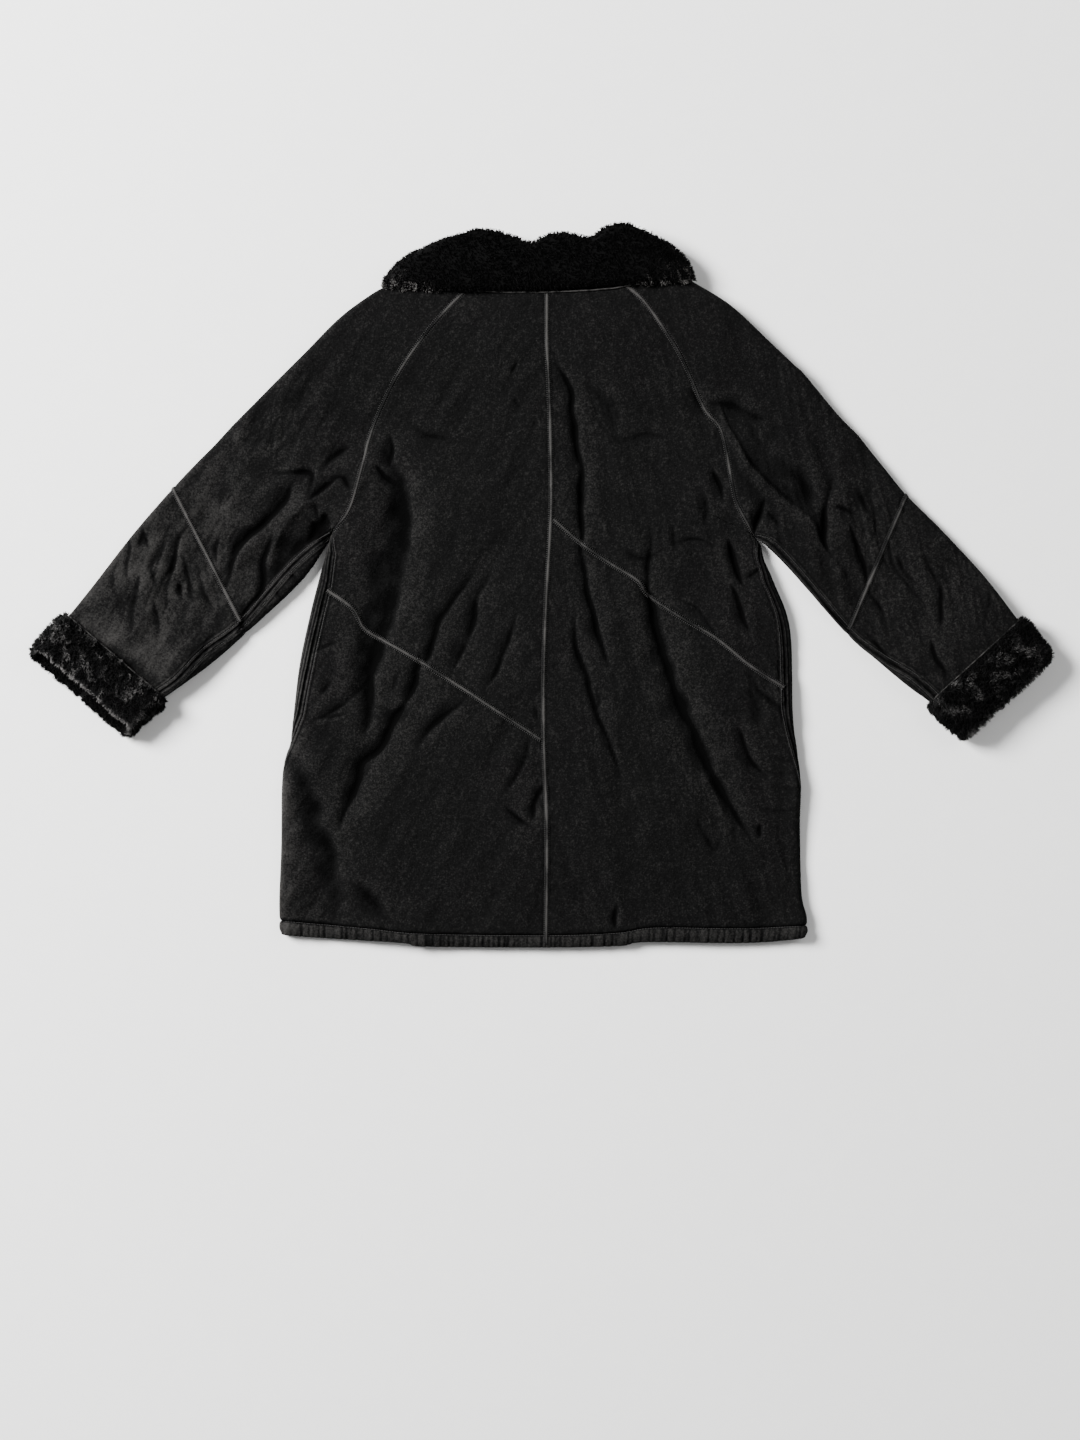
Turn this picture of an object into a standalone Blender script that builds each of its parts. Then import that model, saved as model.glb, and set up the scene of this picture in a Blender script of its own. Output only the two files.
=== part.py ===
"""A long black sheepskin coat with raglan sleeves, laid flat with its back up.

Plan sizes are in millimetres: x runs across the coat, y from the hem up to the collar,
z up from the surface that the fronts lie on. The coat is built the way it is sewn:
back, fronts and sleeves are single thick skins that meet at seams, go round the folded
edges and lie on each other; fur collar and cuffs are bands turned back on themselves.
"""

from collections import namedtuple
from math import cos, hypot, pi, sin

import bpy
import numpy as np

MM = 0.001

# Driving sizes, in millimetres.
WALL = 6.5  # leather with its wool pressed down
AIR = 3.5  # hollow between the back and the fronts
LIE = 2 * WALL + AIR  # height of the coat where it lies flat
EDGE_RADIUS = 8.5  # how far in from its outermost line a folded edge has turned flat
EDGE_QUARTER = 13.2  # cloth in a quarter turn of a folded edge
FUR = 10.2  # long pile of collar and cuffs
FUR_GAP = 0.6  # from a fur band to the cloth that it lies on
LIFT = FUR + FUR_GAP + 0.1  # neck and wrists rest on the fur below them
NECK_RAMP = (190.0, 335.0)  # y where the cloth starts and ends its climb onto the collar
WRIST_RAMP = (-150.0, -12.0)  # the same, along the sleeve, from the cuff's upper edge
SLEEVE_FROM = 360.0  # nothing of the body lies farther out than this
SEAM_PULL = 0.25  # each piece stops this far short of its seam
STRAP_HALF, STRAP_THICK, STRAP_GAP = 3.0, 1.1, 0.45  # narrow bands sewn over the seams
HEM_BULGE, HEM_PUCKER = 1.2, 1.3  # how the cased hem stands out, and its gathers
BACK_PUCKERS = 33  # gathers along each half of the back's hem

Place = namedtuple("Place", "x y")
Fold = namedtuple("Fold", "x0 y0 x1 y1 bow width rise")
Side = namedtuple("Side", "x y seam")
Section = namedtuple("Section", "upper_x upper_y lower_x lower_y seam")
Cuff = namedtuple("Cuff", "mid_x mid_y along_x along_y across_x across_y upper lower")
Hump = namedtuple("Hump", "x rise")
Profile = namedtuple("Profile", "along out")

# Seams, from the neck or the centre outwards and down.
CENTRE_BACK = [
    Place(7, 385), Place(7, 313), Place(10, 246), Place(12, 164), Place(12, 88),
    Place(6, -20), Place(3, -110), Place(3, -204), Place(7, -320), Place(6, -460),
]
RAGLAN = {
    "left": [
        Place(-95, 384), Place(-122, 358), Place(-155, 319), Place(-185, 276),
        Place(-209, 229), Place(-224, 191), Place(-234, 152), Place(-250, 98), Place(-272, 70),
    ],
    "right": [
        Place(104, 392), Place(129, 371), Place(150, 344), Place(177, 303), Place(194, 268),
        Place(213, 226), Place(234, 199), Place(248, 130), Place(255, 103), Place(276, 65),
    ],
}
YOKE = {
    "left": [
        Place(3, -204), Place(-60, -163), Place(-109, -131), Place(-158, -100),
        Place(-203, -74), Place(-231, -57), Place(-246, -31), Place(-282, -5),
    ],
    "right": [
        Place(12, 88), Place(51, 54), Place(90, 27), Place(125, 5), Place(138, -13),
        Place(180, -42), Place(226, -69), Place(271, -105), Place(317, -135),
    ],
}

# The body's outermost lines. seam is the cloth from that line to the side seam,
# positive where the seam shows on the back. The first row runs on under the sleeve.
SIDE = {
    "left": [
        Side(-256, 112, 0), Side(-272, 70, 0), Side(-280, 43, 12), Side(-291, 4, 18),
        Side(-302, -40, 18), Side(-315.5, -105, 17), Side(-323, -168, 12), Side(-327, -205, 0),
        Side(-337, -245, -8), Side(-339, -344, -8), Side(-341.5, -417, -8), Side(-339, -480, -8),
    ],
    "right": [
        Side(265, 108, 0), Side(276, 65, 0), Side(285, 52, 6), Side(288.5, 35, 10),
        Side(302, 4, 15), Side(323.5, -58, 15), Side(327, -168, 14), Side(332, -214, 8),
        Side(337, -258, 0), Side(336, -308, -8), Side(338, -400, -8), Side(345, -436, -8),
        Side(342, -480, -8),
    ],
}
STITCH_LINE = [
    Place(-360, -435), Place(-284, -442), Place(-227, -447), Place(-150, -454),
    Place(4, -456), Place(97, -453), Place(148, -446), Place(266, -447), Place(360, -442),
]
HEM_LINE = [
    Place(-360, -454), Place(-284, -460), Place(-183, -466), Place(-150, -471),
    Place(7, -472), Place(102, -470), Place(136, -465), Place(273, -466), Place(360, -458),
]

# Neck seams, and how much lower the fronts are cut at the centre.
NECK = [Place(-200, 388), Place(-95, 384), Place(7, 385), Place(104, 392), Place(190, 397)]
FRONT_NECK_DROP = 42.0
CENTRE_FRONT = 4.0

# The sleeves' shoulder fold from neck to the section at the armpit, then whole sections.
# seam is the cloth from the sleeve's lower fold to the underarm seam.
SHOULDER = {
    "left": [
        Place(-200, 388), Place(-220, 378), Place(-262, 347), Place(-309.5, 299.5),
        Place(-356.5, 253.5), Place(-404.5, 205.5),
    ],
    "right": [
        Place(190, 397), Place(244, 364), Place(294.5, 317.5), Place(328, 286),
        Place(343, 272), Place(386, 221), Place(412, 195),
    ],
}
SLEEVE = {
    "left": [
        Section(-404.5, 205.5, -272, 70, 0), Section(-426.5, 181.5, -284, 45, 16),
        Section(-448, 160, -315.5, 2, 27), Section(-480, 126, -384.5, -62.5, 18),
        Section(-532, 66, -427, -100.5, 22), Section(-585, -4, -466, -130, 14),
    ],
    "right": [
        Section(412, 195, 276, 65, 0), Section(430, 172, 292, 51, 10),
        Section(446, 152, 323, 20, 10), Section(475, 117, 398, -64, 8),
        Section(520, 72, 438, -100, 11), Section(572.5, 14.5, 475, -131.5, 18),
    ],
}
ELBOW_SECTION = 3  # the row where the upper and the lower sleeve are joined
WRIST_SEAM = 14.0  # from the lower fold to the underarm seam at the cuff

# Cuffs: middle of the upper edge, direction to the wrist, direction to the lower fold,
# and how far the upper and the lower layer reach.
CUFF = {
    "left": Cuff(-554.5, -96, -0.703, -0.711, 0.76, -0.65, 56, 71),
    "right": Cuff(563, -101, 0.674, -0.739, -0.7375, -0.675, 67, 65),
}
CUFF_HALF = {"left": (81.5, 76.0), "right": (78.0, 71.0)}  # at upper edge and wrist
CUFF_SLEEVE = 26.0  # how far the sleeve goes into its cuff

# Collar: half width at the neck and at its rolled top, which has three soft humps.
COLLAR_NECK = Place(-5, 195)  # middle, half width
COLLAR_TOP = Place(13.5, 104)
COLLAR_TOP_Y = 456.0
COLLAR_FRONT_LOWER = 6.0  # the roll lies this much lower on the front
COLLAR_HANG = 4.5  # how far its fur hangs over the neck seam
COLLAR_SWELL = {"left": 17.0, "right": 18.0}  # how far its slanting ends are rounded out
COLLAR_PART = 1.0  # from the centre front to each end of the collar
HUMPS = [
    Hump(-101, -3), Hump(-81, 4), Hump(-60, 3), Hump(-36, -3), Hump(-10, -11), Hump(6, -2),
    Hump(24, 2), Hump(42, 0), Hump(60, -5), Hump(75, 6), Hump(95, 13), Hump(114, 9),
    Hump(128, -2),
]

# The largest folds: soft troughs (rise below zero) and the full places between them.
FOLDS = [
    Fold(138, -5, 252, -300, -14, 13, -2.9), Fold(38, 251, 83, -94, 10, 11, -2.2),
    Fold(41, -30, 98, -250, -8, 12, -2.6), Fold(244, 60, 262, -60, 4, 10, -2.2),
    Fold(250, -180, 291, -250, 0, 10, -2.0), Fold(-103, 5, -258, -310, 12, 13, -2.9),
    Fold(-77, 5, -112, -120, 6, 10, -2.4), Fold(-33, -35, -71, -140, 4, 10, -2.4),
    Fold(-100, -145, -151, -205, 0, 9, -2.0), Fold(-15, -200, -45, -280, 3, 9, -2.0),
    Fold(-193, 195, -216, -75, -9, 24, -2.6), Fold(-316, -235, -282, -420, -6, 18, -2.2),
    Fold(-330, 122, -406, 27, 8, 13, -2.9), Fold(-357, 62, -367, -20, 4, 10, -2.5),
    Fold(-466, 64, -488, -15, -6, 10, -2.2), Fold(-262, 142, -324, 100, 6, 9, -2.8),
    Fold(377, 133, 377, 33, 8, 12, -2.9), Fold(410, 120, 430, 10, -6, 10, -2.4),
    Fold(514, 18, 519, -42, 3, 9, -2.2), Fold(225, -20, 180, -210, 0, 26, 3.6),
    Fold(110, -20, 150, -270, 0, 20, 3.4), Fold(-60, -40, -165, -270, 0, 20, 3.4),
    Fold(-165, -20, -235, -240, 0, 22, 3.0), Fold(-120, 230, -140, -20, 0, 34, 2.6),
    Fold(110, 210, 150, 20, 0, 32, 2.4), Fold(-296, 20, -318, -420, 0, 15, 2.4),
    Fold(303, 10, 318, -420, 0, 15, 2.4), Fold(-300, 280, -560, 10, 0, 20, 2.6),
    Fold(330, 255, 575, 10, 0, 20, 2.6), Fold(-320, 30, -470, -100, 0, 16, 2.8),
    Fold(335, 30, 480, -105, 0, 16, 2.8), Fold(-120, -330, 140, -330, 0, 60, 1.6),
]
DEEPEST = -(AIR - 0.7)  # a trough stays clear of the fronts

# How finely each piece is divided.
RAGLAN_STEPS = {"left": 14, "right": 13}
SIDE_UPPER_STEPS = {"left": 4, "right": 6}
SIDE_LOWER_STEPS = {"left": 12, "right": 13}
BACK_COLUMNS, FRONT_COLUMNS = 10, 6  # beside the close ones at the folded edge
EDGE_STEP = 6.0
EDGE_COLUMNS = 4
SLANT_CLEAR = 4.0  # the drawn part of a slanting seam ends this far before the side seam
SLEEVE_SPAN = 24  # readings between two rows of a sleeve's table
ARMPIT_TO_ELBOW = 5
ELBOW_TO_CUFF = 6

COLOURS = {
    "suede": (0.012, 0.011, 0.011, 1.0, 0.92),
    "strap": (0.020, 0.020, 0.020, 1.0, 0.80),
    "wool": (0.004, 0.004, 0.004, 1.0, 0.97),
}


# ---------------------------------------------------------------- lines in plan


def smooth_line(places, per_span=12):
    """A Catmull-Rom curve through the places or rows of a table, as a dense array."""
    points = np.array(places, float)
    ends = np.vstack([2 * points[0] - points[1], points, 2 * points[-1] - points[-2]])
    steps = np.linspace(0, 1, per_span, endpoint=False)[:, None]
    spans = []
    for a, b, c, d in zip(ends, ends[1:], ends[2:], ends[3:]):
        bend = (2 * a - 5 * b + 4 * c - d) * steps**2 + (3 * b - a - 3 * c + d) * steps**3
        spans.append(0.5 * (2 * b + (c - a) * steps + bend))
    return np.vstack(spans + [points[-1:]])


def divided(line, fractions):
    """Points of a line at fractions of its length."""
    lengths = np.hypot(*np.diff(line, axis=0).T)
    at = np.concatenate([[0], np.cumsum(lengths)]) / lengths.sum()
    return np.column_stack([np.interp(fractions, at, line[:, k]) for k in (0, 1)])


def between(line, start_y, end_y):
    """The stretch of a line that runs down or up between two heights in plan."""
    low, high = sorted((start_y, end_y))
    inside = line[(line[:, 1] > low + 0.5) & (line[:, 1] < high - 0.5)]
    order = np.argsort(line[:, 1])
    ends = [[np.interp(y, line[order, 1], line[order, 0]), y] for y in (start_y, end_y)]
    if (inside[-1][1] - inside[0][1]) * (end_y - start_y) < 0:
        inside = inside[::-1]
    return np.vstack([ends[:1], inside, ends[1:]])


def height_at(line, x):
    """The y of a line that runs across the coat."""
    return float(np.interp(x, line[:, 0], line[:, 1]))


STITCH = smooth_line(STITCH_LINE)
HEM = smooth_line(HEM_LINE)
NECK_SEAM = np.array(NECK, float)
CENTRE = smooth_line(CENTRE_BACK)
OUTWARD = {"left": -1, "right": 1}
EDGE = {side: smooth_line([row[:2] for row in SIDE[side]]) for side in SIDE}


def edge_x(side, y):
    """Where the body's outermost line is at this y."""
    line = EDGE[side][::-1]
    return float(np.interp(y, line[:, 1], line[:, 0]))


def seam_along(side, y):
    """The cloth between the body's outermost line and its side seam at this y."""
    rows = SIDE[side][::-1]
    return float(np.interp(y, [row.y for row in rows], [row.seam for row in rows]))


# ---------------------------------------------------------------- heights


def ramp(value, start, end):
    """Nought at start, one at end, with soft ends."""
    t = min(max((value - start) / (end - start), 0.0), 1.0)
    return t * t * (3 - 2 * t)


def held_up(x, y):
    """How much of the lift a place has, from nought to one."""
    share = ramp(y, *NECK_RAMP)
    side = "left" if x < 0 else "right"
    cuff = CUFF[side]
    if abs(x) > SLEEVE_FROM:
        along = (x - cuff.mid_x) * cuff.along_x + (y - cuff.mid_y) * cuff.along_y
        share = max(share, ramp(along, *WRIST_RAMP))
    return share


def fold_rise(x, y):
    """What the folds add to the height of the upper side."""
    total = 0.0
    for fold in FOLDS:
        run_x, run_y = fold.x1 - fold.x0, fold.y1 - fold.y0
        length = hypot(run_x, run_y)
        t = ((x - fold.x0) * run_x + (y - fold.y0) * run_y) / length**2
        if 0 < t < 1:
            fade = 4 * t * (1 - t)
            aside = ((x - fold.x0) * run_y - (y - fold.y0) * run_x) / length - fold.bow * fade
            total += fold.rise * fade**0.7 * np.exp(-((aside / fold.width) ** 2))
    return max(total, DEEPEST)


def under_z(x, y):
    return LIFT * held_up(x, y)


def upper_z(x, y):
    share = held_up(x, y)
    return LIFT * share + LIE + fold_rise(x, y) * (1 - share)


# ---------------------------------------------------------------- the cloth's two faces


def flat_skin(x, y, face):
    """Outer and inner point of cloth that lies flat; face is 1 above and -1 below."""
    outer = upper_z(x, y) if face > 0 else under_z(x, y)
    return (x, y, outer), (x, y, outer - face * WALL)


def edge_skin(edge, inward, along):
    """Cloth that goes round a folded edge; along is 0 on its outermost line, more above."""
    if abs(along) > EDGE_QUARTER:
        reach = EDGE_RADIUS + abs(along) - EDGE_QUARTER
        x, y = edge[0] + inward[0] * reach, edge[1] + inward[1] * reach
        return flat_skin(x, y, 1 if along > 0 else -1)
    foot = [edge[k] + inward[k] * EDGE_RADIUS for k in (0, 1)]
    low, high = under_z(*foot), upper_z(*foot)
    turn = along / EDGE_QUARTER * pi / 2
    skin = []
    for radius, half in (
        (EDGE_RADIUS, (high - low) / 2),
        (EDGE_RADIUS - WALL, (high - low) / 2 - WALL),
    ):
        reach = EDGE_RADIUS - radius * cos(turn)
        x, y = edge[0] + inward[0] * reach, edge[1] + inward[1] * reach
        skin.append((x, y, (low + high) / 2 + half * sin(turn)))
    return tuple(skin)


def body_skin(x, y, face):
    """Cloth of the body, x being measured along it from the coat's middle."""
    for side, outward in OUTWARD.items():
        edge = edge_x(side, y)
        reach = (edge - x) * outward
        if reach < EDGE_RADIUS:
            along = face * (reach - EDGE_RADIUS + EDGE_QUARTER)
            return edge_skin((edge, y), (-outward, 0), along)
    return flat_skin(x, y, face)


def seam_place(side, y, face):
    """The side seam in the body's own measure of x."""
    along = face * seam_along(side, y)
    return (edge_x(side, y) - OUTWARD[side] * (along + EDGE_RADIUS - EDGE_QUARTER), y)


# ---------------------------------------------------------------- solids


def material(name):
    made = bpy.data.materials.get(name)
    if made is None:
        made = bpy.data.materials.new(name)
        made.use_nodes = True
        shader = made.node_tree.nodes["Principled BSDF"]
        shader.inputs["Base Color"].default_value = COLOURS[name][:4]
        shader.inputs["Roughness"].default_value = COLOURS[name][4]
        shader.inputs["Metallic"].default_value = 0.0
    return made


def add_object(name, points, faces, finish):
    """One closed solid, its faces turned outwards."""
    points = np.array(points, float)
    volume = 0.0
    for face in faces:
        for b, c in zip(face[1:], face[2:]):
            volume += np.dot(points[face[0]], np.cross(points[b], points[c]))
    if volume < 0:
        faces = [face[::-1] for face in faces]
    mesh = bpy.data.meshes.new(name)
    mesh.from_pydata((points * MM).tolist(), [], faces)
    mesh.materials.append(material(finish))
    mesh.shade_smooth()
    mesh.set_sharp_from_angle(angle=pi / 4)
    made = bpy.data.objects.new(name, mesh)
    bpy.context.scene.collection.objects.link(made)
    return made


def add_sheet(name, skins, finish="suede"):
    """A thick sheet from rows of (outer, inner) points, drawn back from its seams."""
    outer = np.array([[skin[0] for skin in row] for row in skins], float)
    inner = np.array([[skin[1] for skin in row] for row in skins], float)
    shift = np.zeros_like(outer)
    for rim, beside in ((0, 1), (-1, -2)):
        across = outer[:, beside] - outer[:, rim]
        shift[:, rim] += SEAM_PULL * across / np.linalg.norm(across, axis=1)[:, None]
        down = outer[beside] - outer[rim]
        shift[rim] += SEAM_PULL * down / np.linalg.norm(down, axis=1)[:, None]
    outer += shift
    inner += shift
    rows, columns = outer.shape[:2]
    count = rows * columns

    def at(row, column, layer):
        return layer * count + row * columns + column

    faces = []
    for row in range(rows - 1):
        for column in range(columns - 1):
            corners = ((row, column), (row, column + 1), (row + 1, column + 1), (row + 1, column))
            faces.append([at(*corner, 0) for corner in corners])
            faces.append([at(*corner, 1) for corner in reversed(corners)])
    flat_points = outer.reshape(-1, 3)
    rim = [(0, k) for k in range(columns)] + [(k, columns - 1) for k in range(1, rows)]
    rim += [(rows - 1, k) for k in range(columns - 2, -1, -1)]
    rim += [(k, 0) for k in range(rows - 2, 0, -1)]
    for here, there in zip(rim, rim[1:] + rim[:1]):
        # Both pieces at a seam part their rims along the same diagonal.
        if flat_points[at(*here, 0)][1] < flat_points[at(*there, 0)][1]:
            faces.append([at(*there, 0), at(*here, 0), at(*there, 1)])
            faces.append([at(*here, 0), at(*here, 1), at(*there, 1)])
        else:
            faces.append([at(*there, 0), at(*here, 0), at(*here, 1)])
            faces.append([at(*there, 0), at(*here, 1), at(*there, 1)])
    points = np.vstack([outer.reshape(-1, 3), inner.reshape(-1, 3)])
    add_object(name, points, faces, finish)
    return outer


def add_band(name, loops, closed, finish):
    """A solid from loops of points, joined in order, its ends capped unless it closes."""
    loops = np.array(loops, float)
    count, size = loops.shape[:2]
    faces = []
    for k in range(count if closed else count - 1):
        for j in range(size):
            a, b = k * size, (k + 1) % count * size
            n = (j + 1) % size
            faces.append([a + j, a + n, b + n, b + j])
    if not closed:
        faces.append(list(range(size))[::-1])
        faces.append([(count - 1) * size + j for j in range(size)])
    add_object(name, loops.reshape(-1, 3), faces, finish)


# ---------------------------------------------------------------- panels


def coons(bottom, top, left, right, fractions):
    """Plan points that fill four sides; fractions tells how the bottom is divided."""
    grid = []
    for k, (start, end) in enumerate(zip(left, right)):
        v = k / (len(left) - 1)
        row = []
        for u, low, high in zip(fractions, bottom, top):
            corners = (1 - v) * ((1 - u) * bottom[0] + u * bottom[-1])
            corners = corners + v * ((1 - u) * top[0] + u * top[-1])
            row.append((1 - v) * low + v * high + (1 - u) * start + u * end - corners)
        grid.append(row)
    return grid


def column_fractions(width, columns):
    """Close columns at the folded edge, then even ones to the centre."""
    close = [EDGE_STEP * k / width for k in range(EDGE_COLUMNS)]
    return np.array(close + list(np.linspace(EDGE_STEP * EDGE_COLUMNS / width, 1, columns + 1)))


def across_line(line, start_x, end_x, fractions, face=1):
    """Points of a line that runs across the coat, from one x along the cloth to another."""
    xs = start_x + (end_x - start_x) * fractions
    seen = [body_skin(x, line[0][1], face)[0][0] for x in xs]
    return np.array([(x, height_at(line, at)) for x, at in zip(xs, seen)])


def side_rows(side, face, start_y, end_y, steps):
    ys = np.linspace(start_y, end_y, steps + 1)
    return np.array([seam_place(side, y, face) for y in ys])


def raglan_points(side):
    return divided(smooth_line(RAGLAN[side]), np.linspace(0, 1, RAGLAN_STEPS[side] + 1))


def armpit_and_up(side, face):
    """The raglan seam from armpit to neck; the armpit is on the folded edge."""
    points = raglan_points(side)[::-1]
    points[0] = seam_place(side, points[0][1], face)
    return points


def slant_line(side, seam_end, fractions):
    """The slanting seam of one half of the back, from the side seam to the centre."""
    line = smooth_line(YOKE[side])[::-1]
    line = line[line[:, 0] * OUTWARD[side] < abs(seam_end[0]) - SLANT_CLEAR]
    return divided(np.vstack([[seam_end], line]), fractions)


def back_panels(side):
    """The two panels of one half of the back, parted by the slanting seam."""
    armpit_y = RAGLAN[side][-1].y
    seam_y = YOKE[side][-1].y
    hem_y = height_at(STITCH, SIDE[side][-2].x)
    seam_end = np.array(seam_place(side, seam_y, 1))
    centre_y = YOKE[side][0].y
    fractions = column_fractions(abs(seam_end[0]), BACK_COLUMNS)
    slant = slant_line(side, seam_end, fractions)

    left = side_rows(side, 1, seam_y, armpit_y, SIDE_UPPER_STEPS[side])
    left = np.vstack([left[:-1], armpit_and_up(side, 1)])
    steps = np.linspace(0, 1, len(left))
    neck = across_line(NECK_SEAM, RAGLAN[side][0].x, CENTRE_BACK[0].x, fractions)
    centre = divided(between(CENTRE, centre_y, neck[-1][1]), steps)
    upper = coons(slant, neck, left, centre, fractions)

    left = side_rows(side, 1, hem_y, seam_y, SIDE_LOWER_STEPS[side])
    stitch = across_line(STITCH, left[0][0], CENTRE[-1][0], fractions)
    left[0] = stitch[0]
    steps = np.linspace(0, 1, len(left))
    centre = divided(between(CENTRE, stitch[-1][1], centre_y), steps)
    lower = coons(stitch, slant, left, centre, fractions)
    return (
        [[body_skin(x, y, 1) for x, y in row] for row in upper],
        [[body_skin(x, y, 1) for x, y in row] for row in lower],
    )


def front_neck_y(x):
    """The front neck seam, cut lower towards the centre."""
    inner = RAGLAN["left"][0].x, RAGLAN["right"][0].x
    places = (inner[0], CENTRE_FRONT, inner[1])
    heights = (RAGLAN["left"][0].y, NECK[2].y - FRONT_NECK_DROP, RAGLAN["right"][0].y)
    if inner[0] < x < inner[1]:
        return float(np.interp(x, places, heights))
    return height_at(NECK_SEAM, x)


def front_panel(side):
    """One front: on the surface below, round the folded edge, up to the side seam."""
    armpit_y = RAGLAN[side][-1].y
    seam_y = YOKE[side][-1].y
    hem_y = height_at(STITCH, SIDE[side][-2].x)
    lower = side_rows(side, -1, hem_y, seam_y, SIDE_LOWER_STEPS[side])
    upper = side_rows(side, -1, seam_y, armpit_y, SIDE_UPPER_STEPS[side])
    left = np.vstack([lower[:-1], upper[:-1], armpit_and_up(side, -1)])
    centre = CENTRE_FRONT
    fractions = column_fractions(abs(left[0][0] - centre), FRONT_COLUMNS)
    stitch = across_line(STITCH, left[0][0], centre, fractions, -1)
    left[0] = stitch[0]
    neck_x = left[-1][0] + (centre - left[-1][0]) * fractions
    neck = np.array([(x, front_neck_y(x)) for x in neck_x])
    left[-1] = neck[0]
    right = np.linspace(stitch[-1], neck[-1], len(left))
    grid = coons(stitch, neck, left, right, fractions)
    return [[body_skin(x, y, -1) for x, y in row] for row in grid]


def hem_band(side, face, puckers):
    """The cased hem: a narrow band under the panel, gathered by its stitching."""
    hem_y = height_at(STITCH, SIDE[side][-2].x)
    start = seam_place(side, hem_y, face)[0]
    end = CENTRE[-1][0] if face > 0 else CENTRE_FRONT
    fractions = column_fractions(abs(start - end), FRONT_COLUMNS)
    if puckers:
        fractions = np.linspace(0, 1, 2 * puckers + 1)
    stitch = across_line(STITCH, start, end, fractions, face)
    edge = across_line(HEM, start, end, fractions, face)
    rows = []
    for t, bulge in ((0.0, -0.5), (0.5, 1.0), (1.0, -0.9)):
        row = []
        heights = stitch[:, 1] + (edge[:, 1] - stitch[:, 1]) * t
        seam_x = seam_place(side, heights[0], face)[0]
        for k, (share, y) in enumerate(zip(fractions, heights)):
            skin = body_skin(seam_x + (end - seam_x) * share, y, face)
            outer, inner = (np.array(point) for point in skin)
            push = HEM_BULGE * bulge
            if puckers:
                push += HEM_PUCKER * cos(pi * k) * (1 + 0.3 * sin(k * 1.7)) * min(k / 4, 1)
            outer = outer + (outer - inner) / WALL * push
            outer[2] = max(outer[2], 0.0)
            row.append((outer, inner))
        rows.append(row)
    return rows


# ---------------------------------------------------------------- sleeves


def sleeve_skin(upper, lower, seam, distance, open_section):
    """Cloth of a sleeve's section, distance being measured from its first seam."""
    upper, lower = np.array(upper), np.array(lower)
    width = np.linalg.norm(lower - upper)
    inward = (lower - upper) / width
    if open_section:
        return edge_skin(upper, inward, width - EDGE_RADIUS + EDGE_QUARTER - distance)
    half = width - 2 * EDGE_RADIUS + 2 * EDGE_QUARTER
    place = seam + distance
    if place < half / 2:
        return edge_skin(lower, -inward, place)
    if place < 1.5 * half:
        return edge_skin(upper, inward, half - place)
    return edge_skin(lower, -inward, place - 2 * half)


def section_places(upper, lower, seam, open_section):
    """Where a section's points are, along its cloth, close together round both folds."""
    width = hypot(lower[0] - upper[0], lower[1] - upper[1])
    if open_section:
        to_fold = width - EDGE_RADIUS + EDGE_QUARTER
        total = 2 * to_fold
    else:
        half = width - 2 * EDGE_RADIUS + 2 * EDGE_QUARTER
        to_fold = half - seam
        total = 2 * half
    top = np.linspace(EDGE_STEP, to_fold - EDGE_QUARTER, 7)
    fold = to_fold + EDGE_QUARTER * np.array([-0.5, 0.0, 0.5])
    below = np.linspace(to_fold + EDGE_QUARTER, total - 5 * EDGE_STEP, 3)
    last = total - EDGE_STEP * np.array([4, 3, 2, 1, 0])
    return np.concatenate([[0], top, fold, below, last])


def sleeve_sections(side):
    """The sleeve's sections from the neck down: (upper fold, lower place, seam, open)."""
    raglan = raglan_points(side)
    shoulder = divided(smooth_line(SHOULDER[side]), np.linspace(0, 1, len(raglan)))
    sections = [(u, a, 0.0, True) for u, a in zip(shoulder[:-1], raglan[:-1])]
    rows = list(SLEEVE[side])
    for along in (0.0, CUFF_SLEEVE):
        upper, lower = (cuff_place(side, along, end) for end in (-1, 1))
        rows.append(Section(*upper, *lower, WRIST_SEAM))
    tube = smooth_line(rows, SLEEVE_SPAN)
    to_elbow = np.linspace(0, ELBOW_SECTION, ARMPIT_TO_ELBOW + 1)
    to_cuff = np.linspace(ELBOW_SECTION, len(rows) - 2, ELBOW_TO_CUFF + 1)
    for at in [*to_elbow, *to_cuff[1:], len(rows) - 1]:
        row = tube[round(at * SLEEVE_SPAN)]
        sections.append((row[:2], row[2:4], row[4], False))
    return sections


def sleeve_parts(side):
    skins = []
    for upper, lower, seam, open_section in sleeve_sections(side):
        places = section_places(upper, lower, seam, open_section)
        skins.append([sleeve_skin(upper, lower, seam, at, open_section) for at in places])
    elbow = RAGLAN_STEPS[side] + ARMPIT_TO_ELBOW
    return skins[: elbow + 1], skins[elbow:]


# ---------------------------------------------------------------- fur bands


def ring_stations(above, turns, under_left, under_right):
    """(place, angle) round a flattened ring: place runs from -1 to 1 between its folds."""
    left = [(t, -pi / 2) for t in under_left]
    left += [(-1, -pi / 2 - pi * k / turns) for k in range(1, turns)]
    top = [(t, pi / 2) for t in np.linspace(-1, 1, above + 1)]
    right = [(1, pi / 2 - pi * k / turns) for k in range(1, turns)]
    return left + top + right + [(t, -pi / 2) for t in under_right]


def cuff_profile(reach):
    """The turned-back cuff: sleeve wall inside, rolled wrist, thick fur outside."""
    start, roll = CUFF_SLEEVE + 0.5, FUR * 0.9
    return [
        Profile(start, 0), Profile(start, -WALL + 0.6), Profile(reach - roll, -WALL + 0.6),
        Profile(reach - 3, -WALL * 0.3), Profile(reach, FUR * 0.45),
        Profile(reach - 3, FUR * 0.85), Profile(reach - roll, FUR + FUR_GAP),
        Profile(roll, FUR + FUR_GAP), Profile(1.5, FUR * 0.7), Profile(0, FUR_GAP + 2),
        Profile(0.5, FUR_GAP), Profile(reach - roll, FUR_GAP),
        Profile(reach - roll - 1, 0),
    ]


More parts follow.
